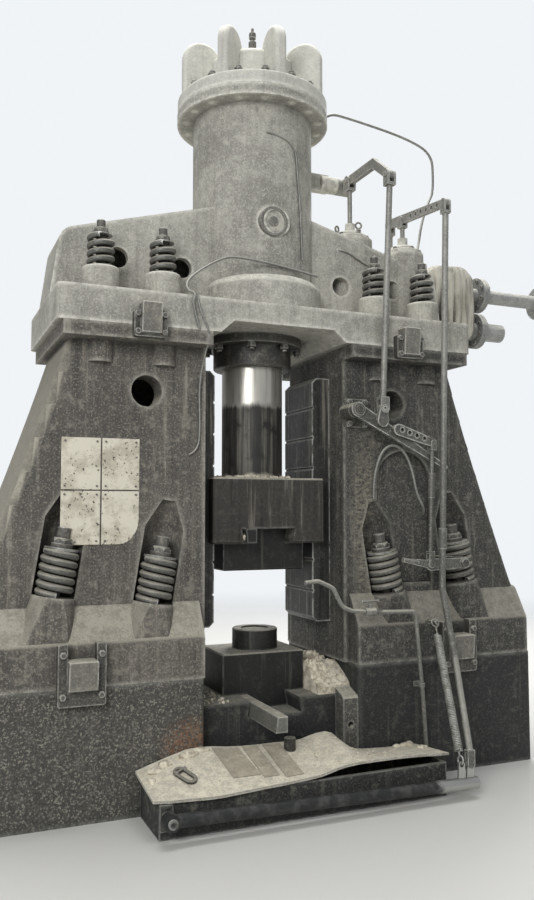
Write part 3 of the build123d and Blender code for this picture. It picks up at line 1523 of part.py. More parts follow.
sub_parts = {
    "anvil": anvil_block(),
    "sow_block": sow_block(),
    "sow_block_key": sow_key(),
    "lower_die": lower_die(),
    "toe_block": toe_block(),
    "left_stand": mirrored(stand(False)),
    "right_stand": stand(True),
    "left_guide": mirrored(guide()),
    "right_guide": guide(),
    "cylinder_bed": cylinder_bed(),
    "cylinder_cover": cylinder_cover(),
    "cover_nuts": cover_studs(),
    "cover_plug": cover_plug(),
    "gland": gland(),
    "gland_packing": gland_packing(),
    "gland_studs": gland_studs(),
    "top_studs": top_studs(),
    "top_nuts": top_nuts(),
    "top_springs": top_springs(),
    "lower_studs": low_studs(),
    "lower_nuts": low_nuts(),
    "lower_springs": low_springs(),
    "upper_clamps": group(at_four(right_clamp_boxes[0])),
    "lower_clamps": group(at_four(right_clamp_boxes[1])),
    "clamp_keys": group(at_four(right_clamp_keys[0]) + at_four(right_clamp_keys[1])),
    "clamp_bolts": clamp_bolts(),
    "slide_valve_cover": valve_cover(lever_x, chest_y, slide_chest_top),
    "throttle_cover": valve_cover(throttle_x, throttle_y, throttle_chest_top),
    "cover_bolts": cover_bolts(),
    "lever_bracket": lever_bracket(),
    "throttle_post": throttle_post(),
    "inlet_pipe": flanged_pipe(inlet_z, inlet_radius, inlet_joint_x, inlet_end_x, True),
    "exhaust_pipe": flanged_pipe(exhaust_z, exhaust_radius, exhaust_joint_x, exhaust_end_x, False),
    "pipe_lagging": pipe_lagging(),
    "step_plate": step_plate(),
    "step_box": step_box(),
    "treadle_bracket": treadle_bracket(),
    "curved_lever_pedestal": curved_lever_pedestal(),
    "hand_lever_bracket": hand_lever_bracket(),
    "blow_pipe": blow_pipe(),
    "blow_valve": blow_valve(),
    "spring_hook": spring_hook(),
    "ram": ram(),
    "piston_rod": piston_rod(),
    "piston_rings": piston_rings(),
    "upper_die": upper_die(),
    "upper_die_key": upper_die_key(),
    "valve_lever": valve_lever(),
    "valve_link": valve_link(),
    "slide_valve": slide_valve(),
    "valve_rod": valve_rod(),
    "curved_lever": curved_lever(),
    "hand_link": hand_link(),
    "hand_lever": hand_lever(),
    "throttle_lever": throttle_lever(),
    "throttle_spindle": throttle_spindle(),
    "pull_rod": pull_rod(),
    "treadle_bar": treadle_bar(),
    "treadle_spring": treadle_spring(),
    "blow_valve_handle": blow_valve_handle(),
}

os.makedirs("parts", exist_ok=True)
for name, shape in sub_parts.items():
    export_step(shape, "parts/" + name + ".step")
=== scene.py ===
import random
from math import atan2, cos, exp, pi, sin

import bmesh
import bpy
from mathutils import Matrix, Vector, noise
from mathutils.bvhtree import BVHTree


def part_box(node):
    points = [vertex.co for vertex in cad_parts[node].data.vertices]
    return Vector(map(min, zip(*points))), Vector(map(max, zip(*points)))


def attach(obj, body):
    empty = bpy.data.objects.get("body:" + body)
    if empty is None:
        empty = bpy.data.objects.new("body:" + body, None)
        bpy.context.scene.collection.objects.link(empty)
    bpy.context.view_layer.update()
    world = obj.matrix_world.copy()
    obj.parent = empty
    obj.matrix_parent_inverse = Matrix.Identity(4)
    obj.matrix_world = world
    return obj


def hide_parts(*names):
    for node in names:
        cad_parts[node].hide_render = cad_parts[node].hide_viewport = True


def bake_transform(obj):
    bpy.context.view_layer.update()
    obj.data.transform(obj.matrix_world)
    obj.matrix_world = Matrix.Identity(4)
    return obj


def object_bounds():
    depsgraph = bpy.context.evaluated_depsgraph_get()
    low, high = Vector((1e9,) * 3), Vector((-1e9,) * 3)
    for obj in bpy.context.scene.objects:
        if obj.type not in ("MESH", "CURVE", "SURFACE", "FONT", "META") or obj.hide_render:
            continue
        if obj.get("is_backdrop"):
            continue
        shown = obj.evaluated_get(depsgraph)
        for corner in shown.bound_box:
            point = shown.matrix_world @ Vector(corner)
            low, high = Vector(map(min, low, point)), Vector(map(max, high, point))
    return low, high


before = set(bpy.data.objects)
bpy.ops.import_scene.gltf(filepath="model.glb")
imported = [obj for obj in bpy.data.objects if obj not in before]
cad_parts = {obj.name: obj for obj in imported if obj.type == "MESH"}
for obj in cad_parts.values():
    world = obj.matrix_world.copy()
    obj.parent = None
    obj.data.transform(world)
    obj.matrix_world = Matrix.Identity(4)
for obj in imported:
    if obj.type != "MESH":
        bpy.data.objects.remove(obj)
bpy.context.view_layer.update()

scene = bpy.context.scene
scene.view_settings.view_transform = "Standard"


# Camera
# It stands left of the hammer at eye height, turned to the right and a little upward.
camera_data = bpy.data.cameras.new("camera")
camera_data.lens = 33.387
camera = bpy.data.objects.new("camera", camera_data)
camera.location = (-2.0298, -4.9909, 1.6349)
camera.rotation_euler = (pi / 2 + 0.0712, 0, -0.4044)
scene.collection.objects.link(camera)
scene.camera = camera


# Floor and light
# A plain pale floor, an even sky and three large soft lamps, one above, one in front and one behind.
def place(tree, kind, sockets=(), **settings):
    """Adds a shader node; each socket gets a value, or a link from another node's output."""
    made = tree.nodes.new(kind)
    for name, value in settings.items():
        setattr(made, name, value)
    for socket, value in sockets:
        if isinstance(value, bpy.types.NodeSocket):
            tree.links.new(value, made.inputs[socket])
        else:
            made.inputs[socket].default_value = value
    return made


def soft_lamp(name, spot, aim, power, width):
    data = bpy.data.lights.new(name, "AREA")
    data.shape = "DISK"
    data.size = width
    data.energy = power
    lamp = bpy.data.objects.new(name, data)
    lamp.location = spot
    lamp.rotation_euler = (Vector(aim) - Vector(spot)).to_track_quat("-Z", "Y").to_euler()
    scene.collection.objects.link(lamp)


soft_lamp("lamp_above", (0.5, 1.0, 9.5), (0, 0, 2), 620, 6.0)
soft_lamp("lamp_front", (-5.5, -7.0, 5.0), (0, 0, 1.8), 430, 4.0)
soft_lamp("lamp_back", (5.5, 5.5, 6.0), (0.4, 0, 2.6), 520, 4.0)

sky = bpy.data.worlds.new("sky")
scene.world = sky
sky.use_nodes = True
sky_tree = sky.node_tree
seen = place(sky_tree, "ShaderNodeLightPath")
sky_strength = place(sky_tree, "ShaderNodeMapRange", [
    ("Value", seen.outputs["Is Camera Ray"]), ("To Min", 0.42), ("To Max", 0.93)])
sky_tree.nodes["Background"].inputs["Color"].default_value = (0.94, 0.97, 1.0, 1)
sky_tree.links.new(sky_strength.outputs["Result"], sky_tree.nodes["Background"].inputs["Strength"])

floor_mesh = bmesh.new()
bmesh.ops.create_grid(floor_mesh, x_segments=1, y_segments=1, size=14)
floor_data = bpy.data.meshes.new("floor")
floor_mesh.to_mesh(floor_data)
floor = bpy.data.objects.new("floor", floor_data)
scene.collection.objects.link(floor)
floor_material = bpy.data.materials.new("pale_floor")
floor_material.use_nodes = True
floor_tree = floor_material.node_tree
floor_shader = floor_tree.nodes["Principled BSDF"]
floor_shader.inputs["Base Color"].default_value = (0.62, 0.61, 0.58, 1)
floor_shader.inputs["Roughness"].default_value = 0.9
floor_spot = place(floor_tree, "ShaderNodeTexCoord").outputs["Object"]
floor_reach = place(floor_tree, "ShaderNodeVectorMath", [(0, floor_spot)], operation="LENGTH")
floor_fade = place(floor_tree, "ShaderNodeMapRange", [
    ("Value", floor_reach.outputs["Value"]), ("From Min", 3.5), ("From Max", 12.0), ("To Min", 1.0),
    ("To Max", 0.0)], interpolation_type="SMOOTHSTEP")
floor_tree.links.new(floor_fade.outputs[0], floor_shader.inputs["Alpha"])
floor_data.materials.append(floor_material)
floor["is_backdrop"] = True


# Anvil block
# One heavy casting that the whole machine stands on, black with scale and oil, with dust on its
# ledges. Its left end is greyer, with fine pale grains and a patch of rust at the front. It rests
# on the floor by its own weight.
def mix(tree, factor, first, second):
    """Colour between two, by a factor."""
    return place(tree, "ShaderNodeMix", [(0, factor), (6, first), (7, second)],
                 data_type="RGBA").outputs[2]


def step(tree, value, low, high, top=1.0):
    """Zero below low, top above high, and smooth between."""
    return place(tree, "ShaderNodeMapRange", [
        ("Value", value), ("From Min", low), ("From Max", high), ("To Max", top)],
        interpolation_type="SMOOTHSTEP").outputs[0]


def sums(tree, operation, first, second):
    return place(tree, "ShaderNodeMath", [(0, first), (1, second)], operation=operation).outputs[0]


def times(tree, first, second):
    return sums(tree, "MULTIPLY", first, second)


def plus(tree, first, second):
    return sums(tree, "ADD", first, second)


def spot_of(tree):
    """The shaded point in the part's frame."""
    return place(tree, "ShaderNodeTexCoord").outputs["Object"]


def axis(tree, vector, letter):
    return place(tree, "ShaderNodeSeparateXYZ", [(0, vector)]).outputs[letter]


def stretched(tree, vector, scale, turn=(0, 0, 0)):
    return place(tree, "ShaderNodeMapping", [
        ("Vector", vector), ("Rotation", turn), ("Scale", scale)]).outputs[0]


def cloud(tree, vector, scale, detail=5.0, rough=0.6):
    return place(tree, "ShaderNodeTexNoise", [
        ("Vector", vector), ("Scale", scale), ("Detail", detail), ("Roughness", rough)]).outputs[0]


def openness(tree, distance, inside=False):
    """How open a point is to its surroundings, or with inside, how thick the piece is there."""
    return place(tree, "ShaderNodeAmbientOcclusion", [("Distance", distance)], samples=6,
                 inside=inside).outputs["AO"]


def bumped(tree, shader, strength, distance, height):
    bump = place(tree, "ShaderNodeBump", [
        ("Strength", strength), ("Distance", distance), ("Height", height)])
    tree.links.new(bump.outputs["Normal"], shader.inputs["Normal"])


def effect_group(name, inputs, outputs):
    """Empty shader group; returns it, the sockets that it is given and those of its result."""
    group = bpy.data.node_groups.new(name, "ShaderNodeTree")
    for label, value in inputs:
        kind = "NodeSocketColor" if isinstance(value, tuple) else "NodeSocketFloat"
        group.interface.new_socket(label, in_out="INPUT", socket_type=kind).default_value = value
    for label, kind in outputs:
        group.interface.new_socket(label, in_out="OUTPUT", socket_type=kind)
    return group, group.nodes.new("NodeGroupInput").outputs, group.nodes.new("NodeGroupOutput").inputs


# Layers from the metal outward: blotches, runs on upright faces, specks, painted shade in the corners,
# dust on what faces up, and bare metal on rubbed edges.
tree, given, result = effect_group(
    "weathering",
    (("Base", (0.2, 0.2, 0.2, 1)), ("Shade", (0.05, 0.05, 0.05, 1)), ("Dust", (0.5, 0.46, 0.37, 1)),
     ("Bare", (0.5, 0.5, 0.48, 1)), ("Mottle", 0.5), ("Streaks", 0.3), ("Specks", 0.2), ("Dusting", 0.5),
     ("Wear", 0.5), ("Edge", 0.015), ("Rough", 0.75), ("Metal", 0.0)),
    (("Color", "NodeSocketColor"), ("Roughness", "NodeSocketFloat"), ("Metallic", "NodeSocketFloat"),
     ("Height", "NodeSocketFloat")))
weathering = tree
spot = spot_of(tree)
facing = axis(tree, place(tree, "ShaderNodeNewGeometry").outputs["Normal"], "Z")
broad = cloud(tree, spot, 1.5, 10, 0.72)
middle = cloud(tree, spot, 19, 8, 0.7)
fine = cloud(tree, spot, 90, 4, 0.6)
grit = cloud(tree, spot, 330, 1, 0.5)
runs = cloud(tree, stretched(tree, spot, (27, 27, 1.1)), 1, 7, 0.66)
hollow = openness(tree, 0.12)
convex = openness(tree, given["Edge"], inside=True)
upright_face = step(tree, facing, 0.7, 0.3)
blotches = times(tree, step(tree, broad, 0.3, 0.72), given["Mottle"])
tone = mix(tree, blotches, given["Base"], given["Shade"])
dark_runs = times(tree, times(tree, step(tree, runs, 0.5, 0.68), upright_face), given["Streaks"])
tone = mix(tree, dark_runs, tone, given["Shade"])
pale_runs = times(tree, times(tree, step(tree, runs, 0.46, 0.3), upright_face),
                  times(tree, given["Streaks"], 0.45))
tone = mix(tree, pale_runs, tone, given["Dust"])
patches = step(tree, middle, 0.47, 0.72)
tone = mix(tree, times(tree, patches, times(tree, given["Mottle"], 0.5)), tone, given["Shade"])
pale_patches = times(tree, step(tree, middle, 0.48, 0.34), times(tree, given["Mottle"], 0.4))
tone = mix(tree, pale_patches, tone, given["Dust"])
salt = plus(tree, step(tree, grit, 0.58, 0.66, 0.5), step(tree, fine, 0.54, 0.62))
salt = times(tree, salt, step(tree, middle, 0.2, 0.62))
tone = mix(tree, times(tree, salt, given["Specks"]), tone, given["Dust"])
pepper = times(tree, step(tree, fine, 0.46, 0.38), times(tree, given["Specks"], 0.7))
tone = mix(tree, pepper, tone, given["Shade"])
# Painted shade: points that ambient occlusion finds closed in, in corners and hollows, are darkened
# toward the Shade colour.
corner_shade = step(tree, hollow, 0.75, 0.2, 0.75)
tone = mix(tree, corner_shade, tone, given["Shade"])
lying = step(tree, plus(tree, facing, times(tree, middle, 0.8)), 0.5, 0.85)
dusty = times(tree, lying, given["Dusting"])
clumps = step(tree, plus(tree, times(tree, fine, 0.6), times(tree, middle, 0.6)), 0.5, 0.72)
dark_dust = mix(tree, 0.55, given["Dust"], given["Shade"])
tone = mix(tree, dusty, tone, mix(tree, times(tree, clumps, 0.75), given["Dust"], dark_dust))
rubbed = times(tree, step(tree, convex, 0.93, 0.62), step(tree, middle, 0.36, 0.56))
rubbed = times(tree, rubbed, given["Wear"])
tone = mix(tree, rubbed, tone, given["Bare"])
rough = plus(tree, given["Rough"], times(tree, dusty, 0.2))
rough = sums(tree, "SUBTRACT", rough, times(tree, rubbed, 0.3))
rough = plus(tree, rough, times(tree, patches, 0.08))
clean = sums(tree, "SUBTRACT", 1.0, dusty)
surface = plus(tree, times(tree, middle, 0.5), times(tree, fine, 0.35))
surface = plus(tree, surface, times(tree, grit, 0.15))
wrinkle = place(tree, "ShaderNodeTexNoise", [
    ("Vector", spot), ("Scale", 13.0), ("Detail", 2.0), ("Distortion", 1.6)]).outputs[0]
surface = plus(tree, surface, times(tree, wrinkle, 0.7))
for label, socket in (("Color", tone), ("Roughness", rough), ("Height", surface),
                      ("Metallic", times(tree, clean, given["Metal"]))):
    tree.links.new(socket, result[label])

pale_dust = (0.50, 0.47, 0.38, 1)


def weathered(name, base, shade, dust=pale_dust, bare=(0.45, 0.45, 0.42, 1), relief=0.5, depth=0.004,
              **values):
    """Material of a metal under years of heat, oil and dust."""
    material = bpy.data.materials.new(name)
    material.use_nodes = True
    tree = material.node_tree
    shader = tree.nodes["Principled BSDF"]
    effect = place(tree, "ShaderNodeGroup", node_tree=weathering)
    for label, value in (("Base", base), ("Shade", shade), ("Dust", dust), ("Bare", bare)):
        effect.inputs[label].default_value = value
    for label, value in values.items():
        effect.inputs[label].default_value = value
    for label in ("Color", "Roughness", "Metallic"):
        socket = "Base Color" if label == "Color" else label
        tree.links.new(effect.outputs[label], shader.inputs[socket])
    bumped(tree, shader, relief, depth, effect.outputs["Height"])
    return material


def dress(material, *nodes):
    for node in nodes:
        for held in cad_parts[node].material_slots:
            held.material = material


def opened(material):
    """A weathered material's tree, shader, colour on its way to the shader, and point."""
    tree = material.node_tree
    shader = tree.nodes["Principled BSDF"]
    return tree, shader, shader.inputs["Base Color"].links[0].from_socket, spot_of(tree)


anvil_black = (0.02, 0.022, 0.021, 1)
anvil_grey = (0.075, 0.071, 0.062, 1)
rust_middle = (-0.575, -0.52, 0.33)
rust = (0.27, 0.125, 0.06, 1)
anvil_iron = weathered(
    "anvil_iron", anvil_black, (0.009, 0.011, 0.011, 1), bare=(0.2, 0.2, 0.18, 1),
    dust=(0.42, 0.4, 0.33, 1), Mottle=0.3, Streaks=0.2, Specks=0.1, Dusting=0.7, Wear=0.6, Edge=0.03,
    Rough=0.72, relief=0.9, depth=0.01)
tree, shader, plain, spot = opened(anvil_iron)
aside = plus(tree, axis(tree, spot, "X"), times(tree, cloud(tree, spot, 3, 4, 0.6), 0.1))
outer = step(tree, aside, -0.4, -0.47)
tree.links.new(plus(tree, times(tree, outer, 0.45), 0.1), plain.node.inputs["Specks"])
tree.links.new(mix(tree, outer, anvil_black, anvil_grey), plain.node.inputs["Base"])
from_rust = place(tree, "ShaderNodeVectorMath", [(0, spot), (1, rust_middle)], operation="DISTANCE")
rusty = times(tree, step(tree, from_rust.outputs["Value"], 0.21, 0.06),
              step(tree, cloud(tree, spot, 60, 5, 0.7), 0.42, 0.6))
tree.links.new(mix(tree, times(tree, rusty, 0.75), plain, rust), shader.inputs["Base Color"])
dress(anvil_iron, "anvil")


# Sow block with its key and the dies
# Forged tool steel, black with scale. The sow block sits in the anvil's pit, the key holds its
# dovetail, and the round lower die stands on it with its top rim worn bright.
tool_steel = weathered(
    "tool_steel", (0.022, 0.024, 0.022, 1), (0.008, 0.009, 0.009, 1), bare=(0.3, 0.31, 0.29, 1),
    Mottle=0.12, Streaks=0.25, Specks=0.03, Dusting=0.75, Wear=0.45, Edge=0.012, Rough=0.55, Metal=0.4,
    relief=0.4, depth=0.003)
dress(tool_steel, "sow_block", "lower_die", "upper_die", "upper_die_key")
key_steel = weathered(
    "key_steel", (0.22, 0.22, 0.2, 1), (0.07, 0.07, 0.065, 1), Mottle=0.6, Streaks=0.1, Specks=0.2,
    Dusting=0.9, Wear=0.7, Edge=0.012, Rough=0.6, Metal=0.5, relief=0.4, depth=0.002)
dress(key_steel, "sow_block_key")


# Toe block
# A cast wedge at the right end of the pit's mouth, grey with dust on its sloping top.
toe_iron = weathered(
    "toe_iron", (0.09, 0.088, 0.08, 1), (0.03, 0.03, 0.028, 1), Mottle=0.7, Streaks=0.3, Specks=0.3,
    Dusting=0.95, Wear=0.35, Edge=0.02, Rough=0.8, relief=0.6, depth=0.005)
dress(toe_iron, "toe_block")


# Loose scale in the pit
# Flakes and grains of scale that fell from the forgings. They lie heaped between the sow block
# and the toe block, and thinner on the shelf at the left.
def shaped(name, mesh, material, smooth=False):
    """Turns a bmesh into an object of the scene."""
    data = bpy.data.meshes.new(name)
    mesh.to_mesh(data)
    mesh.free()
    data.materials.append(material)
    if smooth:
        data.shade_smooth()
    piece = bpy.data.objects.new(name, data)
    scene.collection.objects.link(piece)
    return piece


def settle(name, mesh, material, body="frame", smooth=False):
    """Makes a piece of the object that rides on a body."""
    piece = shaped(name, mesh, material, smooth)
    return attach(piece, body)


def plain_material(name, roughness):
    """New material with its tree, shader and point."""
    material = bpy.data.materials.new(name)
    material.use_nodes = True
    tree = material.node_tree
    shader = tree.nodes["Principled BSDF"]
    shader.inputs["Roughness"].default_value = roughness
    return material, tree, shader, spot_of(tree)


def surface_under(*nodes):
    """Gives the height of the highest of some nodes' faces under a point."""
    now = bpy.context.evaluated_depsgraph_get()
    trees = [BVHTree.FromObject(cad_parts[node], now) for node in nodes]

    def height(x, y, start=6.0):
        found = [tree.ray_cast(Vector((x, y, start)), Vector((0, 0, -1)))[0] for tree in trees]
        return max([point.z for point in found if point] + [0.0])
    return height


def grains(mesh, spots, small, large, flat, height, seed):
    """Scatters crumpled grains over the spots, each sunk a little into what it lies on."""
    chance = random.Random(seed)
    for x, y in spots:
        size = small + (large - small) * chance.random() ** 2
        grain = bmesh.ops.create_icosphere(mesh, subdivisions=1, radius=size)["verts"]
        squash = Vector((1, 0.55 + 0.4 * chance.random(), flat * (0.7 + 0.6 * chance.random())))
        turn = Matrix.Rotation(chance.random() * 2 * pi, 3, "Z")
        turn = turn @ Matrix.Rotation(0.3 * (chance.random() - 0.5), 3, "X")
        level = height(x, y)
        for v in grain:
            shaped = v.co * (0.8 + 0.4 * chance.random())
            shaped = turn @ Vector((shaped.x * squash.x, shaped.y * squash.y, shaped.z * squash.z))
            v.co = shaped + Vector((x, y, level + size * flat * 0.4))


scale_grain, tree, shader, spot = plain_material("scale_grain", 0.95)
tone = mix(tree, step(tree, cloud(tree, spot, 24, 4, 0.7), 0.38, 0.68), (0.8, 0.74, 0.6, 1),
           (0.36, 0.315, 0.24, 1))
tree.links.new(tone, shader.inputs["Base Color"])
bumped(tree, shader, 0.6, 0.003, cloud(tree, spot, 160, 3, 0.6))

heap_left, heap_right = 0.2705, 0.4865
heap_front, heap_back = -0.3985, 0.39
heap_floor = 0.5203
tread_left, tread_back = 0.375, -0.18


def heap_height(x, y):
    """Height of the heap: a smooth tread behind the toe block and rubble beside it."""
    climb = min(1.0, max(0.0, (y - heap_front) / 0.2))
    fall = min(1.0, max(0.0, (heap_back - y) / 0.3))
    ridge = 0.04 + 0.115 * climb ** 0.8 * fall ** 0.7
    at = Vector((x, y, 0))
    rubble = 0.045 * noise.noise(at * 9) + 0.03 * abs(noise.noise(at * 26))
    rubble += 0.012 * noise.noise(at * 70)
    tread = min(1.0, max(0.0, (x - tread_left) / 0.012)) * min(1.0, max(0.0, (tread_back - y) / 0.03))
    return heap_floor + max(0.012, ridge + rubble * (1 - 0.93 * tread) + 0.012 * tread)


heap = bmesh.new()
bmesh.ops.create_grid(heap, x_segments=48, y_segments=150, size=0.5)
for v in heap.verts:
    x = heap_left + (v.co.x + 0.5) * (heap_right - heap_left)
    y = heap_front + (v.co.y + 0.5) * (heap_back - heap_front)
    v.co = Vector((x, y, heap_height(x, y)))
under = bmesh.ops.extrude_face_region(heap, geom=heap.faces[:])
for v in [piece for piece in under["geom"] if isinstance(piece, bmesh.types.BMVert)]:
    v.co.z = heap_floor
bmesh.ops.recalc_face_normals(heap, faces=heap.faces)
settle("scale_heap", heap, scale_grain)
chance = random.Random(3)
heap_spots = [(chance.uniform(0.285, 0.475), chance.uniform(-0.38, 0.37)) for index in range(330)]
heap_spots = [(x, y) for x, y in heap_spots if x < 0.37 or y > -0.17 or chance.random() < 0.15]
heap_grains = bmesh.new()
grains(heap_grains, heap_spots, 0.004, 0.016, 0.7, heap_height, 6)
settle("heap_grains", heap_grains, scale_grain)
chance = random.Random(4)
pit_floor = surface_under("anvil", "sow_block_key")
shelf_grains = bmesh.new()
left_spots = [(-0.29 - 0.18 * chance.random(), -0.38 + 0.62 * chance.random()) for index in range(150)]
grains(shelf_grains, left_spots, 0.004, 0.017, 0.7, pit_floor, 5)
settle("shelf_grains", shelf_grains, scale_grain)


# Stands
# Two hollow castings tied to the anvil by sprung studs. The left one is grey brown with rusty runs
# and thick dust on its foot. The right one, beside the control gear, is darker and oilier, with a
# paler beaten column down its front.
left_iron = weathered(
    "left_stand_iron", (0.15, 0.137, 0.118, 1), (0.05, 0.047, 0.043, 1), bare=(0.46, 0.44, 0.38, 1),
    dust=(0.46, 0.43, 0.35, 1), Mottle=0.8, Streaks=0.85, Specks=0.4, Dusting=0.8, Wear=0.55, Edge=0.03,
    Rough=0.82, relief=0.8, depth=0.008)
right_iron = weathered(
    "right_stand_iron", (0.065, 0.063, 0.058, 1), (0.019, 0.02, 0.019, 1), bare=(0.4, 0.39, 0.34, 1),
    dust=(0.4, 0.375, 0.31, 1), Mottle=0.75, Streaks=0.6, Specks=0.35, Dusting=0.7, Wear=0.55,
    Edge=0.03, Rough=0.76, relief=1.0, depth=0.01)
tree, shader, plain, spot = opened(right_iron)
across = plus(tree, axis(tree, spot, "X"), times(tree, cloud(tree, spot, 2.2, 4, 0.6), 0.12))
up = axis(tree, spot, "Z")
column = times(tree, step(tree, across, 0.53, 0.63), step(tree, across, 0.8, 0.7))
column = times(tree, column, step(tree, up, 2.35, 1.7))
column = times(tree, column, step(tree, up, 0.85, 1.3))
beaten = cloud(tree, stretched(tree, spot, (30, 30, 60), (0, 0.6, 0)), 1, 4, 0.65)
column = times(tree, column, step(tree, beaten, 0.35, 0.65, 0.45))
tree.links.new(mix(tree, column, plain, (0.42, 0.38, 0.29, 1)), shader.inputs["Base Color"])
dress(left_iron, "left_stand")
dress(right_iron, "right_stand")


# Sign plates
# Four bare plates of thin pale sheet, held to the left stand by small screws, dirty and a little
# bent at the corners. The lower right one has lost a corner.
sign_paint, tree, shader, spot = plain_material("sign_paint", 0.6)
stain = cloud(tree, spot, 7, 8, 0.7)
chips = cloud(tree, spot, 60, 4, 0.6)
paint = mix(tree, step(tree, stain, 0.42, 0.62), (0.68, 0.64, 0.53, 1), (0.46, 0.42, 0.33, 1))
paint = mix(tree, step(tree, plus(tree, chips, times(tree, stain, 0.5)), 0.86, 0.93), paint,
            (0.07, 0.06, 0.05, 1))
tree.links.new(paint, shader.inputs["Base Color"])
bumped(tree, shader, 0.4, 0.002, stain)
screw_steel = weathered(
    "screw_steel", (0.16, 0.15, 0.13, 1), (0.05, 0.04, 0.035, 1), Mottle=0.5, Dusting=0.3, Wear=0.8,
    Edge=0.003, Rough=0.6, Metal=0.6, depth=0.001)

plate_face = -0.4
plate_gauge = 0.003
plate_gap = 0.002
tear_wide, tear_tall = 0.12, 0.15
screw_inset = 0.02
facing_front = Matrix.Rotation(pi / 2, 3, "X")
for name, left, right, low, high in (
        ("upper_left", -1.279, -1.064, 1.744, 2.03), ("upper_right", -1.056, -0.846, 1.744, 2.03),
        ("lower_left", -1.279, -1.064, 1.443, 1.737), ("lower_right", -1.056, -0.846, 1.443, 1.737)):
    wide, tall = right - left, high - low
    middle_x, middle_z = (left + right) / 2, (low + high) / 2
    sheet = bmesh.new()
    bmesh.ops.create_grid(sheet, x_segments=44, y_segments=60, size=0.5)
    bmesh.ops.scale(sheet, vec=(wide, tall, 1), verts=sheet.verts)
    bmesh.ops.rotate(sheet, matrix=facing_front, verts=sheet.verts)
    bmesh.ops.translate(sheet, vec=(middle_x, plate_face - plate_gauge - plate_gap, middle_z),
                        verts=sheet.verts)
    for v in sheet.verts:
        outward = abs(v.co.x - middle_x) / wide + abs(v.co.z - middle_z) / tall
        v.co.y -= 0.03 * max(0.0, outward - 0.8) ** 2 + 0.0012 * noise.noise(v.co * 14)
    if name == "lower_right":
        tear_x, tear_z = right - tear_wide, low + tear_tall
        torn = []
        for v in sheet.verts:
            x, z = (v.co.x - tear_x) / tear_wide, (v.co.z - tear_z) / tear_tall
            reach = (x * x + z * z) ** 0.5
            if x > 0 and z < 0 and reach > 1:
                if reach > 1.06:
                    torn.append(v)
                else:
                    v.co.x, v.co.z = tear_x + x / reach * tear_wide, tear_z + z / reach * tear_tall
        bmesh.ops.delete(sheet, geom=torn, context="VERTS")
    bmesh.ops.solidify(sheet, geom=sheet.faces[:], thickness=plate_gauge)
    settle("sign_plate_" + name, sheet, sign_paint, smooth=True)
    screws = bmesh.new()
    for x in (left + screw_inset, right - screw_inset):
        for z in (low + screw_inset, high - screw_inset):
            if name == "lower_right" and x > left + 0.09 and z < low + 0.1:
                continue
            head = bmesh.ops.create_cone(screws, segments=14, radius1=0.007, radius2=0.005, depth=0.012,
                                         cap_ends=True)
            bmesh.ops.rotate(screws, matrix=facing_front, verts=head["verts"])
            bmesh.ops.translate(screws, vec=(x, plate_face - 0.006, z), verts=head["verts"])
    settle("sign_screws_" + name, screws, screw_steel)


# Guides and ram
# The guides are machined cast iron, black with grease, and sit on the stands' inner faces. The
# ram is a plain forged block, brown black, with dark runs down its faces.
guide_iron = weathered(
    "guide_iron", (0.05, 0.05, 0.048, 1), (0.015, 0.015, 0.015, 1), bare=(0.6, 0.6, 0.56, 1),
    Mottle=0.3, Streaks=0.9, Specks=0.08, Dusting=0.3, Wear=0.9, Edge=0.012, Rough=0.45, Metal=0.3,
    relief=0.3, depth=0.003)
dress(guide_iron, "left_guide", "right_guide", "slide_valve", "piston_rings")
ram_steel = weathered(
    "ram_steel", (0.05, 0.045, 0.04, 1), (0.016, 0.016, 0.015, 1), bare=(0.3, 0.29, 0.26, 1),
    Mottle=0.15, Streaks=0.8, Specks=0.05, Dusting=0.95, Wear=0.5, Edge=0.02, Rough=0.55, Metal=0.3,
    relief=0.35, depth=0.003)
dress(ram_steel, "ram")


# Piston rod
# Thick turned steel, set in the ram. Its upper part runs bright through the gland, and below that
# old grease and scale hang on it in dark streaks.
rod_steel, tree, shader, spot = plain_material("rod_steel", 0.3)
height = axis(tree, spot, "Z")
runs = cloud(tree, stretched(tree, spot, (30, 30, 1.2)), 1, 6, 0.7)
blotch = cloud(tree, spot, 9, 6, 0.65)
polished = step(tree, plus(tree, height, times(tree, runs, 0.09)), 2.31, 2.36)
dark = mix(tree, step(tree, runs, 0.42, 0.66), (0.022, 0.021, 0.019, 1), (0.13, 0.12, 0.1, 1))
dark = mix(tree, step(tree, blotch, 0.5, 0.7), dark, (0.014, 0.013, 0.012, 1))
bright = mix(tree, step(tree, runs, 0.45, 0.7), (0.62, 0.6, 0.54, 1), (0.3, 0.29, 0.26, 1))
foot = step(tree, plus(tree, height, times(tree, blotch, 0.12)), 1.92, 1.88)
tone = mix(tree, foot, mix(tree, polished, dark, bright), (0.5, 0.47, 0.38, 1))
tree.links.new(tone, shader.inputs["Base Color"])
rough = place(tree, "ShaderNodeMapRange", [("Value", polished), ("To Min", 0.6), ("To Max", 0.36)])
tree.links.new(rough.outputs[0], shader.inputs["Roughness"])
tree.links.new(step(tree, sums(tree, "SUBTRACT", polished, foot), 0, 1, 0.75), shader.inputs["Metallic"])
bumped(tree, shader, 0.25, 0.002, runs)
dress(rod_steel, "piston_rod")


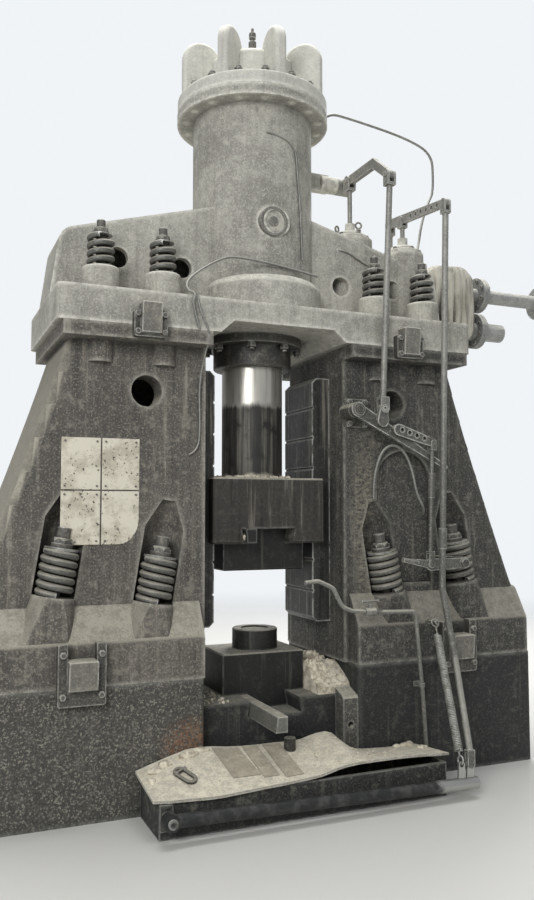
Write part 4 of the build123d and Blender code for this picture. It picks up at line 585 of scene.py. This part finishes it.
# Dry grease round the rod's foot
# Crumbs of dried grease and scale that ring the foot of the rod on the ram, thickest at the left,
# and a lump of it at the end of the die key.
ram_top = surface_under("ram")
chance = random.Random(21)
crumb_spots = []
for index in range(170):
    angle = chance.gauss(3.7, 1.0)
    reach = 0.204 + abs(chance.gauss(0, 0.022))
    crumb_spots.append((reach * cos(angle), reach * sin(angle)))
crumbs = bmesh.new()
grains(crumbs, crumb_spots, 0.005, 0.02, 0.8, lambda x, y: ram_top(x, y, 2.2), 22)
lump = bmesh.ops.create_icosphere(crumbs, subdivisions=3, radius=0.026)["verts"]
for v in lump:
    v.co = v.co * (1 + 0.4 * noise.noise(v.co * 60)) + Vector((-0.152, -0.306, 1.468))
settle("dry_grease", crumbs, scale_grain, body="ram_body")


# Frame bolts with their springs
# Long steel studs tie the stands to the anvil and the cylinder to the stands, and stiff coil
# springs under their nuts take up the shock of each blow. The other nuts and bolts are of the
# same steel.
spring_steel = weathered(
    "spring_steel", (0.13, 0.13, 0.122, 1), (0.035, 0.035, 0.033, 1), bare=(0.5, 0.5, 0.47, 1),
    Mottle=0.5, Streaks=0.2, Specks=0.25, Dusting=0.6, Wear=0.8, Edge=0.01, Rough=0.5, Metal=0.4,
    relief=0.4, depth=0.002)
dress(spring_steel, "top_springs", "lower_springs")
bolt_steel = weathered(
    "bolt_steel", (0.13, 0.125, 0.115, 1), (0.045, 0.042, 0.038, 1), bare=(0.5, 0.5, 0.46, 1),
    Mottle=0.5, Streaks=0.2, Specks=0.3, Dusting=0.8, Wear=0.95, Edge=0.008, Rough=0.62, Metal=0.4,
    relief=0.4, depth=0.002)
dress(bolt_steel, "top_studs", "top_nuts", "lower_studs", "lower_nuts", "cover_nuts", "cover_plug",
      "gland_studs", "cover_bolts", "clamp_bolts", "spring_hook")


# Key boxes
# Steel boxes at the joints, each bolted to both castings, with a pair of keys driven in.
# The curved lever's pedestal and the hand lever's bracket are of the same steel.
clamp_steel = weathered(
    "clamp_steel", (0.085, 0.083, 0.076, 1), (0.026, 0.026, 0.024, 1), bare=(0.5, 0.49, 0.44, 1),
    Mottle=0.5, Streaks=0.3, Specks=0.3, Dusting=0.8, Wear=0.75, Edge=0.009, Rough=0.65, Metal=0.3,
    relief=0.4, depth=0.003)
dress(clamp_steel, "upper_clamps", "lower_clamps", "curved_lever_pedestal", "hand_lever_bracket")
block_steel = weathered(
    "block_steel", (0.2, 0.19, 0.165, 1), (0.07, 0.067, 0.06, 1), bare=(0.55, 0.54, 0.49, 1),
    Mottle=0.6, Streaks=0.4, Specks=0.3, Dusting=0.9, Wear=0.8, Edge=0.01, Rough=0.7, relief=0.4,
    depth=0.002)
dress(block_steel, "clamp_keys")


# Cylinder
# One casting with its bed plate, wings and valve chest, in old pale grey paint under dust and
# oil mist. The paint's pale tone is partly its own and partly painted haze light.
cylinder_iron = weathered(
    "cylinder_iron", (0.54, 0.525, 0.46, 1), (0.17, 0.165, 0.147, 1), dust=(0.72, 0.7, 0.61, 1),
    bare=(0.76, 0.74, 0.66, 1), Mottle=0.9, Streaks=0.4, Specks=0.4, Dusting=0.95, Wear=0.8, Edge=0.03,
    Rough=0.82, relief=1.0, depth=0.012)
dress(cylinder_iron, "cylinder_bed", "slide_valve_cover", "throttle_cover", "lever_bracket")
# Painted light: the cover is a still paler copy of the cylinder's paint, brightened further for haze
# light.
cover_iron = weathered(
    "cover_iron", (0.62, 0.61, 0.55, 1), (0.3, 0.295, 0.265, 1), dust=(0.78, 0.77, 0.69, 1),
    bare=(0.8, 0.79, 0.71, 1), Mottle=0.6, Streaks=0.35, Specks=0.3, Dusting=1.0, Wear=0.6, Edge=0.03,
    Rough=0.82, relief=0.6, depth=0.005)
dress(cover_iron, "cylinder_cover")


# Round badge
# A plain cast ring with a raised middle and no letters, fixed to the front of the cylinder by
# its own shank.
badge_radius = 0.093
badge_middle = (-0.021, -0.391, 3.4)
badge = bmesh.new()
profile = ((0.0, 0.016), (0.03, 0.016), (0.034, 0.009), (0.074, 0.009), (0.077, 0.019), (0.089, 0.021),
           (badge_radius, 0.017), (badge_radius, -0.03))
made = [badge.verts.new((reach, 0, depth)) for reach, depth in profile]
rim = [badge.edges.new((a, b)) for a, b in zip(made, made[1:])]
bmesh.ops.spin(badge, geom=made + rim, axis=(0, 0, 1), cent=(0, 0, 0), angle=2 * pi, steps=72,
               use_merge=True)
bmesh.ops.remove_doubles(badge, verts=badge.verts, dist=0.0003)
bmesh.ops.recalc_face_normals(badge, faces=badge.faces)
bmesh.ops.rotate(badge, matrix=facing_front, verts=badge.verts)
bmesh.ops.translate(badge, vec=badge_middle, verts=badge.verts)
badge_iron = weathered(
    "badge_iron", (0.2, 0.195, 0.175, 1), (0.08, 0.078, 0.07, 1), dust=(0.62, 0.6, 0.52, 1),
    bare=(0.6, 0.58, 0.5, 1), Mottle=0.6, Streaks=0.2, Specks=0.4, Dusting=0.6, Wear=0.7, Edge=0.0035,
    Rough=0.7, relief=0.4, depth=0.002)
settle("round_badge", badge, badge_iron)


# Eye bolts of the slide valve cover
# Two small lifting eyes, screwed into the cover beside the valve link.
def wire_section(reach, wire, segments):
    """A mesh with the round section of a wire, at some reach from the Z axis."""
    mesh = bmesh.new()
    bmesh.ops.create_circle(mesh, segments=segments, radius=wire)
    bmesh.ops.rotate(mesh, matrix=facing_front, verts=mesh.verts)
    bmesh.ops.translate(mesh, vec=(reach, 0, 0), verts=mesh.verts)
    return mesh


def wire_ring(reach, wire, segments):
    mesh = wire_section(reach, wire, segments)
    bmesh.ops.spin(mesh, geom=mesh.edges[:], axis=(0, 0, 1), cent=(0, 0, 0), angle=2 * pi, steps=28,
                   use_merge=True)
    return mesh


def join_in(whole, mesh):
    """Adds a mesh to another and frees it."""
    data = bpy.data.meshes.new("joined")
    mesh.to_mesh(data)
    mesh.free()
    whole.from_mesh(data)
    bpy.data.meshes.remove(data)


eye_ring = 0.02
eye_thickness = 0.0065
lid_top = surface_under("slide_valve_cover")
eyes = bmesh.new()
for x, y, turn in ((0.578, -0.1, 0.5), (0.728, -0.128, -0.3)):
    loop = wire_ring(eye_ring, eye_thickness, 10)
    bmesh.ops.rotate(loop, matrix=Matrix.Rotation(turn, 3, "Z") @ facing_front, verts=loop.verts)
    bmesh.ops.translate(loop, vec=(0, 0, eye_ring + 0.018), verts=loop.verts)
    bmesh.ops.create_cone(loop, segments=16, radius1=0.019, radius2=0.014, depth=0.014, cap_ends=True,
                          matrix=Matrix.Translation((0, 0, 0.006)))
    bmesh.ops.translate(loop, vec=(x, y, lid_top(x, y)), verts=loop.verts)
    bmesh.ops.recalc_face_normals(loop, faces=loop.faces)
    join_in(eyes, loop)
settle("cover_eye_bolts", eyes, bolt_steel, smooth=True)


# Gland
# A heavy cast ring around the rod, drawn up on its packing by eight studs, black with grease.
gland_iron = weathered(
    "gland_iron", (0.06, 0.058, 0.053, 1), (0.02, 0.02, 0.019, 1), Mottle=0.6, Streaks=0.3, Specks=0.1,
    Dusting=0.4, Wear=0.5, Edge=0.012, Rough=0.5, relief=0.4, depth=0.003)
dress(gland_iron, "gland")
packing_rope, tree, shader, spot = plain_material("packing_rope", 0.95)
lay = place(tree, "ShaderNodeTexWave", [
    ("Vector", spot), ("Scale", 26.0), ("Distortion", 2.0), ("Detail", 3.0)],
    bands_direction="Z").outputs["Fac"]
tree.links.new(mix(tree, lay, (0.08, 0.07, 0.05, 1), (0.24, 0.21, 0.15, 1)), shader.inputs["Base Color"])
bumped(tree, shader, 0.8, 0.004, lay)
dress(packing_rope, "gland_packing")


# Valve gear
# Forged levers and long rods of round steel, which carry the hand lever's movement up to the slide
# valve. They are rubbed and dusty, and darker towards the floor.
lever_steel = weathered(
    "lever_steel", (0.3, 0.295, 0.27, 1), (0.11, 0.11, 0.1, 1), dust=(0.62, 0.6, 0.52, 1),
    bare=(0.66, 0.65, 0.6, 1), Mottle=0.6, Streaks=0.3, Specks=0.3, Dusting=0.4, Wear=0.9, Edge=0.006,
    Rough=0.55, Metal=0.35, relief=0.35, depth=0.002)
tree, shader, plain, spot = opened(lever_steel)
low_down = step(tree, axis(tree, spot, "Z"), 3.0, 1.5)
tone = mix(tree, low_down, (0.34, 0.335, 0.31, 1), (0.12, 0.118, 0.108, 1))
tree.links.new(tone, plain.node.inputs["Base"])
dress(lever_steel, "valve_lever", "valve_link", "valve_rod", "hand_link", "hand_lever", "throttle_lever",
      "throttle_post", "throttle_spindle", "pull_rod", "blow_valve_handle")
dark_lever_steel = weathered(
    "dark_lever_steel", (0.13, 0.13, 0.12, 1), (0.04, 0.04, 0.038, 1), bare=(0.66, 0.65, 0.6, 1),
    Mottle=0.6, Streaks=0.2, Specks=0.3, Dusting=0.7, Wear=1.0, Edge=0.01, Rough=0.6, Metal=0.3,
    relief=0.35, depth=0.002)
dress(dark_lever_steel, "curved_lever")


# Bolts of the pedestal
# Four hexagon heads on washers that hold the curved lever's pedestal to the right stand.
bolt_seat = -0.416
bolt_across = 0.03
bolt_height = 0.018
washer_radius = 0.02
washer_gauge = 0.005
heads = bmesh.new()
turned = Matrix.Rotation(pi / 2, 4, "X")
for x, z, turn in ((0.486, 2.172, 0.2), (0.596, 2.172, 0.7), (0.486, 2.306, 0.4), (0.596, 2.306, 0.1)):
    bmesh.ops.create_cone(heads, segments=28, radius1=washer_radius, radius2=washer_radius,
                          depth=washer_gauge, cap_ends=True,
                          matrix=Matrix.Translation((x, bolt_seat - washer_gauge / 2, z)) @ turned)
    standing = Matrix.Translation((x, bolt_seat - washer_gauge - bolt_height / 2, z))
    head = bmesh.ops.create_cone(heads, segments=6, radius1=bolt_across / 1.732,
                                 radius2=bolt_across / 1.732, depth=bolt_height, cap_ends=True,
                                 matrix=standing @ Matrix.Rotation(turn, 4, "Y") @ turned)
    edges = {e for v in head["verts"] for e in v.link_edges
             if all(u.co.y < bolt_seat - bolt_height for u in e.verts)}
    bmesh.ops.bevel(heads, geom=list(edges), offset=0.0025, segments=2, profile=0.5, affect="EDGES",
                    material=-1)
settle("pedestal_bolts", heads, bolt_steel)


# Oil pipes
# Thin steel tubes that run over the castings from one oiling point to the next, bent by hand.
def tube_run(name, points, radius, material, body="frame", closed=False):
    data = bpy.data.curves.new(name, "CURVE")
    data.dimensions = "3D"
    data.bevel_depth = radius
    data.bevel_resolution = 3
    data.resolution_u = 8
    data.use_fill_caps = not closed
    line = data.splines.new("NURBS")
    line.points.add(len(points) - 1)
    for point, at in zip(line.points, points):
        point.co = (*at, 1)
    line.order_u = 3
    line.use_endpoint_u = not closed
    line.use_cyclic_u = closed
    data.materials.append(material)
    piece = bpy.data.objects.new(name, data)
    scene.collection.objects.link(piece)
    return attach(piece, body)


tube_steel = weathered(
    "tube_steel", (0.3, 0.3, 0.28, 1), (0.1, 0.1, 0.095, 1), dust=(0.62, 0.6, 0.52, 1), Mottle=0.5,
    Streaks=0.2, Specks=0.3, Dusting=0.7, Wear=0.7, Edge=0.003, Rough=0.5, Metal=0.5, relief=0.2,
    depth=0.001)
for name, radius, points in (
        ("cover_oil_pipe", 0.009, (
            (0.486, 0.03, 4.262), (0.535, 0.02, 4.34), (0.6, 0, 4.378), (0.7, 0, 4.372), (0.9, 0, 4.351),
            (1.109, 0, 4.323), (1.25, 0, 4.293), (1.36, 0, 4.255), (1.418, 0, 4.19), (1.426, 0, 4.1),
            (1.424, 0, 3.94), (1.385, 0, 3.87), (1.314, -0.01, 3.696), (1.262, -0.04, 3.49),
            (1.2, -0.09, 3.43), (1.19, -0.1, 3.4))),
        ("bed_oil_pipe", 0.007, (
            (0.3, -0.36, 3.1), (0.03, -0.42, 3.12), (-0.27, -0.43, 3.14), (-0.36, -0.44, 3.12),
            (-0.49, -0.48, 3.04), (-0.6, -0.5, 2.95), (-0.62, -0.53, 2.88), (-0.56, -0.545, 2.86),
            (-0.59, -0.548, 2.8), (-0.542, -0.545, 2.66))),
        ("guide_oil_pipe", 0.006, (
            (-0.55, -0.53, 2.87), (-0.55, -0.547, 2.78), (-0.474, -0.545, 2.64), (-0.482, -0.47, 2.54),
            (-0.5, -0.41, 2.36), (-0.49, -0.41, 2.1), (-0.504, -0.41, 1.97), (-0.56, -0.41, 1.95))),
        ("wing_oil_pipe", 0.007, (
            (0.525, -0.2, 3.345), (0.535, -0.221, 3.343), (0.606, -0.223, 3.329), (0.674, -0.222, 3.29),
            (0.743, -0.22, 3.262), (0.762, -0.2, 3.255))),
        ("lever_oil_pipe", 0.008, (
            (0.663, -0.41, 1.7), (0.66, -0.41, 1.8), (0.685, -0.43, 1.95), (0.73, -0.45, 2.03),
            (0.8, -0.46, 2.045), (0.865, -0.47, 1.99), (0.91, -0.48, 1.87), (0.93, -0.49, 1.73),
            (0.985, -0.5, 1.63), (1.02, -0.41, 1.6))),
        ("cylinder_oil_pipe", 0.006, (
            (-0.065, -0.395, 3.96), (0.05, -0.392, 3.95), (0.147, -0.37, 3.89), (0.156, -0.366, 3.76),
            (0.183, -0.353, 3.54), (0.2, -0.345, 3.2)))):
    tube_run(name, points, radius, tube_steel)


# Air and exhaust pipes
# Steel pipes with bolted flanges, dark with old paint, pale dust along their tops.
pipe_paint = weathered(
    "pipe_paint", (0.24, 0.245, 0.24, 1), (0.1, 0.103, 0.1, 1), dust=(0.66, 0.65, 0.58, 1), Mottle=0.5,
    Streaks=0.3, Specks=0.3, Dusting=1.0, Wear=0.6, Edge=0.01, Rough=0.65, relief=0.3, depth=0.002)
dress(pipe_paint, "inlet_pipe", "exhaust_pipe")


# Lagging
# Cloth tied round both pipes where they leave the valve chest. It hangs in deep upright folds and
# is cream with dust, with painted shade darkening the troughs of the folds.
lagging_cloth, tree, shader, spot = plain_material("lagging_cloth", 0.95)
warp, weft = [place(tree, "ShaderNodeTexWave", [("Vector", spot), ("Scale", 90.0)],
                    bands_direction=way).outputs["Fac"] for way in ("X", "Z")]
cloth = mix(tree, step(tree, cloud(tree, spot, 5, 7, 0.65), 0.42, 0.72), (0.66, 0.63, 0.53, 1),
            (0.42, 0.39, 0.31, 1))
creases = cloud(tree, stretched(tree, spot, (34, 34, 2.2)), 1, 3, 0.55)
# Painted shade: the troughs of the upright creases are darkened.
cloth = mix(tree, step(tree, creases, 0.48, 0.3, 0.75), cloth, (0.2, 0.185, 0.145, 1))
# Painted shade: points deep in the folds, found by ambient occlusion, are darkened further.
cloth = mix(tree, step(tree, openness(tree, 0.09), 0.85, 0.3, 0.85), cloth, (0.1, 0.09, 0.07, 1))
tree.links.new(cloth, shader.inputs["Base Color"])
weave = plus(tree, times(tree, plus(tree, warp, weft), 0.1), times(tree, creases, 2.0))
bumped(tree, shader, 0.9, 0.014, weave)
shader.inputs["Sheen Weight"].default_value = 0.25
lagging_low, lagging_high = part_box("pipe_lagging")
lagging_middle = (lagging_low + lagging_high) / 2
lagging_half = (lagging_high - lagging_low) / 2
fold_count = 23
fold_depth = 0.33
wrap = bmesh.new()
bmesh.ops.create_uvsphere(wrap, u_segments=264, v_segments=110, radius=1)
for v in wrap.verts:
    around = atan2(v.co.y, v.co.x)
    rise = abs(v.co.z) ** 0.5 * (1 if v.co.z > 0 else -1)
    reach = max(0.0, 1 - v.co.z ** 2) ** 0.21
    square = (abs(cos(around)) ** 3.4 + abs(sin(around)) ** 3.4) ** (-1 / 3.4)
    lean = noise.noise(Vector((cos(around) * 1.3, sin(around) * 1.3, rise * 0.9 + 4)))
    phase = fold_count * around + 2.6 * lean + 0.9 * sin(3 * around + 1)
    uneven = 0.65 + 0.7 * noise.noise(Vector((cos(around) * 2.1, sin(around) * 2.1, 9)))
    fold = (1 - abs(sin(phase / 2)) ** 0.8) * uneven * min(1.0, max(0.12, 0.75 - 0.85 * rise))
    crumple = 0.03 * noise.noise(v.co * 3.1) + 0.012 * noise.noise(v.co * 9)
    tied = 1 - 0.17 * exp(-((rise + 0.8) / 0.1) ** 2)
    width = reach * square * tied * (0.985 - fold_depth * fold + crumple)
    v.co = Vector((lagging_middle.x + cos(around) * lagging_half.x * width,
                   lagging_middle.y + sin(around) * lagging_half.y * width,
                   lagging_middle.z + lagging_half.z * rise * (0.99 + crumple)))
lagging = settle("lagging_wrap", wrap, lagging_cloth, smooth=True)
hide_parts("pipe_lagging")


# Step box and step plate
# A low box of dark plate before the anvil, and on it a loose sheet of steel, bent and covered
# in the beige scale that falls from the forgings.
box_steel = weathered(
    "box_steel", (0.03, 0.032, 0.03, 1), (0.01, 0.011, 0.011, 1), Mottle=0.6, Streaks=0.3, Specks=0.15,
    Dusting=0.5, Wear=0.5, Edge=0.012, Rough=0.7, relief=0.4, depth=0.003)
dress(box_steel, "step_box", "treadle_bracket")
scale_steel = weathered(
    "scale_steel", (0.34, 0.31, 0.26, 1), (0.13, 0.12, 0.1, 1), dust=(0.82, 0.76, 0.61, 1),
    bare=(0.6, 0.58, 0.5, 1), Mottle=0.8, Streaks=0.2, Specks=0.6, Dusting=0.85, Wear=0.8, Edge=0.01,
    Rough=0.88, relief=0.8, depth=0.006)
dress(scale_steel, "step_plate")


# Loose pieces on the step plate
# Three strips of thin steel, a cut end of round bar, a lifting shackle and stones of scale that
# were left lying on the plate, and the finer scale between them.
plate_top = surface_under("step_plate")
strip_gauge = 0.0035
strip_steel = weathered(
    "strip_steel", (0.21, 0.175, 0.135, 1), (0.1, 0.08, 0.062, 1), dust=(0.7, 0.64, 0.5, 1), Mottle=0.8,
    Streaks=0.1, Specks=0.5, Dusting=0.5, Wear=0.3, Edge=0.002, Rough=0.85, relief=0.5, depth=0.002)
for name, left, right, back, front, slant in (("left", -0.455, -0.3, -0.532, -0.8, 0.03),
                                              ("middle", -0.275, -0.185, -0.528, -0.83, 0.012),
                                              ("right", -0.15, -0.045, -0.53, -0.86, 0.0)):
    strip = bmesh.new()
    bmesh.ops.create_grid(strip, x_segments=6, y_segments=14, size=0.5)
    for v in strip.verts:
        along = 0.5 - v.co.y
        x = left + (v.co.x + 0.5) * (right - left) + slant * along
        y = back + along * (front - back)
        v.co = Vector((x, y, plate_top(x, y) + 0.0003))
    raised = bmesh.ops.extrude_face_region(strip, geom=strip.faces[:])
    for v in [piece for piece in raised["geom"] if isinstance(piece, bmesh.types.BMVert)]:
        v.co.z += strip_gauge
    bmesh.ops.recalc_face_normals(strip, faces=strip.faces)
    settle("steel_strip_" + name, strip, strip_steel)

stub_radius = 0.033
stub_height = 0.065
stub_steel = weathered(
    "stub_steel", (0.055, 0.052, 0.045, 1), (0.024, 0.023, 0.021, 1), bare=(0.4, 0.39, 0.35, 1),
    Mottle=0.4, Specks=0.1, Dusting=0.5, Wear=0.6, Edge=0.006, Rough=0.7, Metal=0.2, relief=0.3,
    depth=0.002)
stub = bmesh.new()
stub_x, stub_y = -0.013, -0.606
stub_level = min(plate_top(stub_x + x, stub_y + y) for x in (-0.03, 0.03) for y in (-0.03, 0.03))
stub_middle = stub_level + stub_height / 2
bmesh.ops.create_cone(stub, segments=40, radius1=stub_radius, radius2=stub_radius,
                      depth=stub_height + 0.01, cap_ends=True,
                      matrix=Matrix.Translation((stub_x, stub_y, stub_middle + 0.004)))
top_rim = [e for e in stub.edges if all(v.co.z > stub_middle for v in e.verts)]
bmesh.ops.bevel(stub, geom=top_rim, offset=0.003, segments=2, profile=0.5, affect="EDGES", material=-1)
settle("bar_stub", stub, stub_steel)

shackle_wire = 0.0105
shackle_place = Vector((-0.668, -0.725, 0))
shackle_turn = -1.15
bow_reach, bow_width, bow_half = 0.034, 0.027, 0.036
pin_reach, pin_spread = 0.052, 0.75
link = []
for index in range(28):
    angle = index * 2 * pi / 28
    x = bow_reach * cos(angle) + (bow_half if cos(angle) > 0 else -bow_half)
    y = bow_width * sin(angle)
    x, y = (x * cos(shackle_turn) - y * sin(shackle_turn),
            x * sin(shackle_turn) + y * cos(shackle_turn))
    x, y = shackle_place.x + x, shackle_place.y + y
    link.append((x, y, plate_top(x, y) + shackle_wire * 0.9))
tube_run("shackle_bow", link, shackle_wire, stub_steel, closed=True)
pin_ends = []
for side in (pi - pin_spread, pi + pin_spread):
    x = shackle_place.x + pin_reach * cos(shackle_turn + side)
    y = shackle_place.y + pin_reach * sin(shackle_turn + side)
    pin_ends.append((x, y, plate_top(x, y) + shackle_wire + 0.006))
tube_run("shackle_pin", pin_ends, 0.0085, stub_steel)

stones = bmesh.new()
for x, y, wide, deep, tall, seed in (
        (0.8, -0.552, 0.05, 0.028, 0.024, 1), (0.725, -0.548, 0.026, 0.02, 0.017, 2),
        (0.83, -0.672, 0.034, 0.028, 0.017, 3), (-0.79, -0.6, 0.045, 0.03, 0.02, 4),
        (-0.72, -0.57, 0.05, 0.028, 0.018, 5), (-0.6, -0.565, 0.06, 0.03, 0.02, 6),
        (-0.53, -0.548, 0.05, 0.022, 0.018, 7), (-0.835, -0.68, 0.022, 0.03, 0.014, 8)):
    stone = bmesh.ops.create_icosphere(stones, subdivisions=3, radius=1)["verts"]
    level = plate_top(x, y)
    for v in stone:
        rough = 1 + 0.35 * noise.noise(v.co * 1.4 + Vector((seed * 7, 0, 0)))
        rough += 0.1 * noise.noise(v.co * 4)
        v.co = Vector((x + v.co.x * wide * rough, y + v.co.y * deep * rough,
                       level + v.co.z * tall * rough))
settle("scale_stones", stones, scale_grain, smooth=True)
chance = random.Random(11)
plate_spots = [(chance.triangular(-0.84, 0.84, 0.12), chance.uniform(-0.885, -0.53))
               for index in range(420)]
plate_grains = bmesh.new()
grains(plate_grains, plate_spots, 0.0018, 0.0085, 0.5, plate_top, 12)
settle("plate_grains", plate_grains, scale_grain)


# Treadle
# A heavy round bar along the step's front, rubbed bright at its right end, with a close wound
# pull spring that lifts it again.
treadle_steel, tree, shader, spot = plain_material("treadle_steel", 0.4)
along = axis(tree, spot, "X")
blotch = cloud(tree, spot, 14, 6, 0.65)
shine = step(tree, plus(tree, along, times(tree, blotch, 0.1)), 0.76, 0.82)
tone = mix(tree, step(tree, blotch, 0.42, 0.7), (0.014, 0.016, 0.015, 1), (0.06, 0.06, 0.056, 1))
tree.links.new(mix(tree, shine, tone, (0.45, 0.45, 0.43, 1)), shader.inputs["Base Color"])
rough = place(tree, "ShaderNodeMapRange", [("Value", shine), ("To Min", 0.6), ("To Max", 0.3)])
tree.links.new(rough.outputs[0], shader.inputs["Roughness"])
tree.links.new(times(tree, shine, 0.8), shader.inputs["Metallic"])
bumped(tree, shader, 0.3, 0.002, blotch)
dress(treadle_steel, "treadle_bar")

spring_top = Vector((0.985, -0.59, 0.94))
spring_foot = Vector((0.893, -0.965, 0.19))
spring_way = (spring_top - spring_foot).normalized()
spring_radius = 0.0205
spring_wire = 0.0043
spring_pitch = 0.0094
spring_hook = 0.074
coil_length = (spring_top - spring_foot).length - 2 * spring_hook
coil_turns = int(coil_length / spring_pitch)
spring_turned = spring_way.to_track_quat("Z", "X").to_matrix()
coil = wire_section(spring_radius, spring_wire, 8)
turn_steps = 18
bmesh.ops.spin(coil, geom=coil.edges[:], axis=(0, 0, 1), cent=(0, 0, 0),
               dvec=(0, 0, spring_pitch / turn_steps), angle=2 * pi * coil_turns,
               steps=turn_steps * coil_turns)
bmesh.ops.holes_fill(coil, edges=[e for e in coil.edges if e.is_boundary])
bmesh.ops.rotate(coil, matrix=spring_turned, verts=coil.verts)
bmesh.ops.translate(coil, vec=spring_foot + spring_way * spring_hook, verts=coil.verts)
eye_wire = 0.005
eye_reach = 0.024
for middle_place, across, out in ((spring_foot + spring_way * eye_reach, Vector((0, 1, 0)), -1),
                                  (spring_top - spring_way * 0.006, Vector((1, 0, 0)), 1)):
    eye = wire_ring(eye_reach, eye_wire, 8)
    flat = across.cross(spring_way).normalized()
    bmesh.ops.rotate(eye, matrix=flat.to_track_quat("Z", "X").to_matrix(), verts=eye.verts)
    bmesh.ops.translate(eye, vec=middle_place, verts=eye.verts)
    start = middle_place - spring_way * out * 0.022
    past_hook = spring_way * (spring_hook + 0.01)
    end = spring_foot + past_hook if out < 0 else spring_top - past_hook
    shank = bmesh.ops.create_cone(eye, segments=10, radius1=eye_wire, radius2=eye_wire,
                                  depth=(end - start).length, cap_ends=True)
    bmesh.ops.rotate(eye, matrix=spring_turned, verts=shank["verts"])
    bmesh.ops.translate(eye, vec=(start + end) / 2, verts=shank["verts"])
    join_in(coil, eye)
bmesh.ops.recalc_face_normals(coil, faces=coil.faces[:])
treadle_coil = shaped("treadle_coil", coil, spring_steel, smooth=True)
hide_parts("treadle_spring")
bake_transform(treadle_coil)


# Blow pipe
# A thin air pipe before the right stand's foot, clipped to the anvil, with a cock and a bent nozzle
# that blows the scale off the dies.
blow_steel = weathered(
    "blow_steel", (0.24, 0.24, 0.22, 1), (0.08, 0.08, 0.075, 1), dust=(0.6, 0.57, 0.48, 1), Mottle=0.6,
    Streaks=0.3, Specks=0.3, Dusting=0.8, Wear=0.9, Edge=0.005, Rough=0.55, Metal=0.4, relief=0.3,
    depth=0.001)
dress(blow_steel, "blow_pipe", "blow_valve")


# Wire tie on the blow pipe
# A few turns of soft black wire beside the cock, with its ends sticking out.
wire_steel = weathered(
    "wire_steel", (0.09, 0.085, 0.075, 1), (0.03, 0.03, 0.028, 1), Mottle=0.4, Dusting=0.3, Wear=0.5,
    Edge=0.002, Rough=0.6, Metal=0.4, relief=0.1, depth=0.0005)
wire_radius = 0.0016
tie_radius = 0.0147
tie_pitch = 0.0056
tie_middle = (0.562, -0.6, 1.0236)
tie_turns = [(tie_middle[0] + tie_pitch * t / 10, tie_middle[1] + tie_radius * cos(t * pi / 5),
              tie_middle[2] + tie_radius * sin(t * pi / 5)) for t in range(46)]
tie_start = [(0.585, -0.655, 1.012), (0.572, -0.632, 1.0)]
tie_end = [(0.592, -0.63, 1.06), (0.57, -0.66, 1.075)]
tube_run("wire_tie", tie_start + tie_turns + tie_end, wire_radius, wire_steel)
tube_run("wire_end", [(0.565, -0.6, 1.0075), (0.561, -0.604, 0.97), (0.57, -0.606, 0.93),
                      (0.556, -0.602, 0.9)], wire_radius, wire_steel)

low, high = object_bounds()
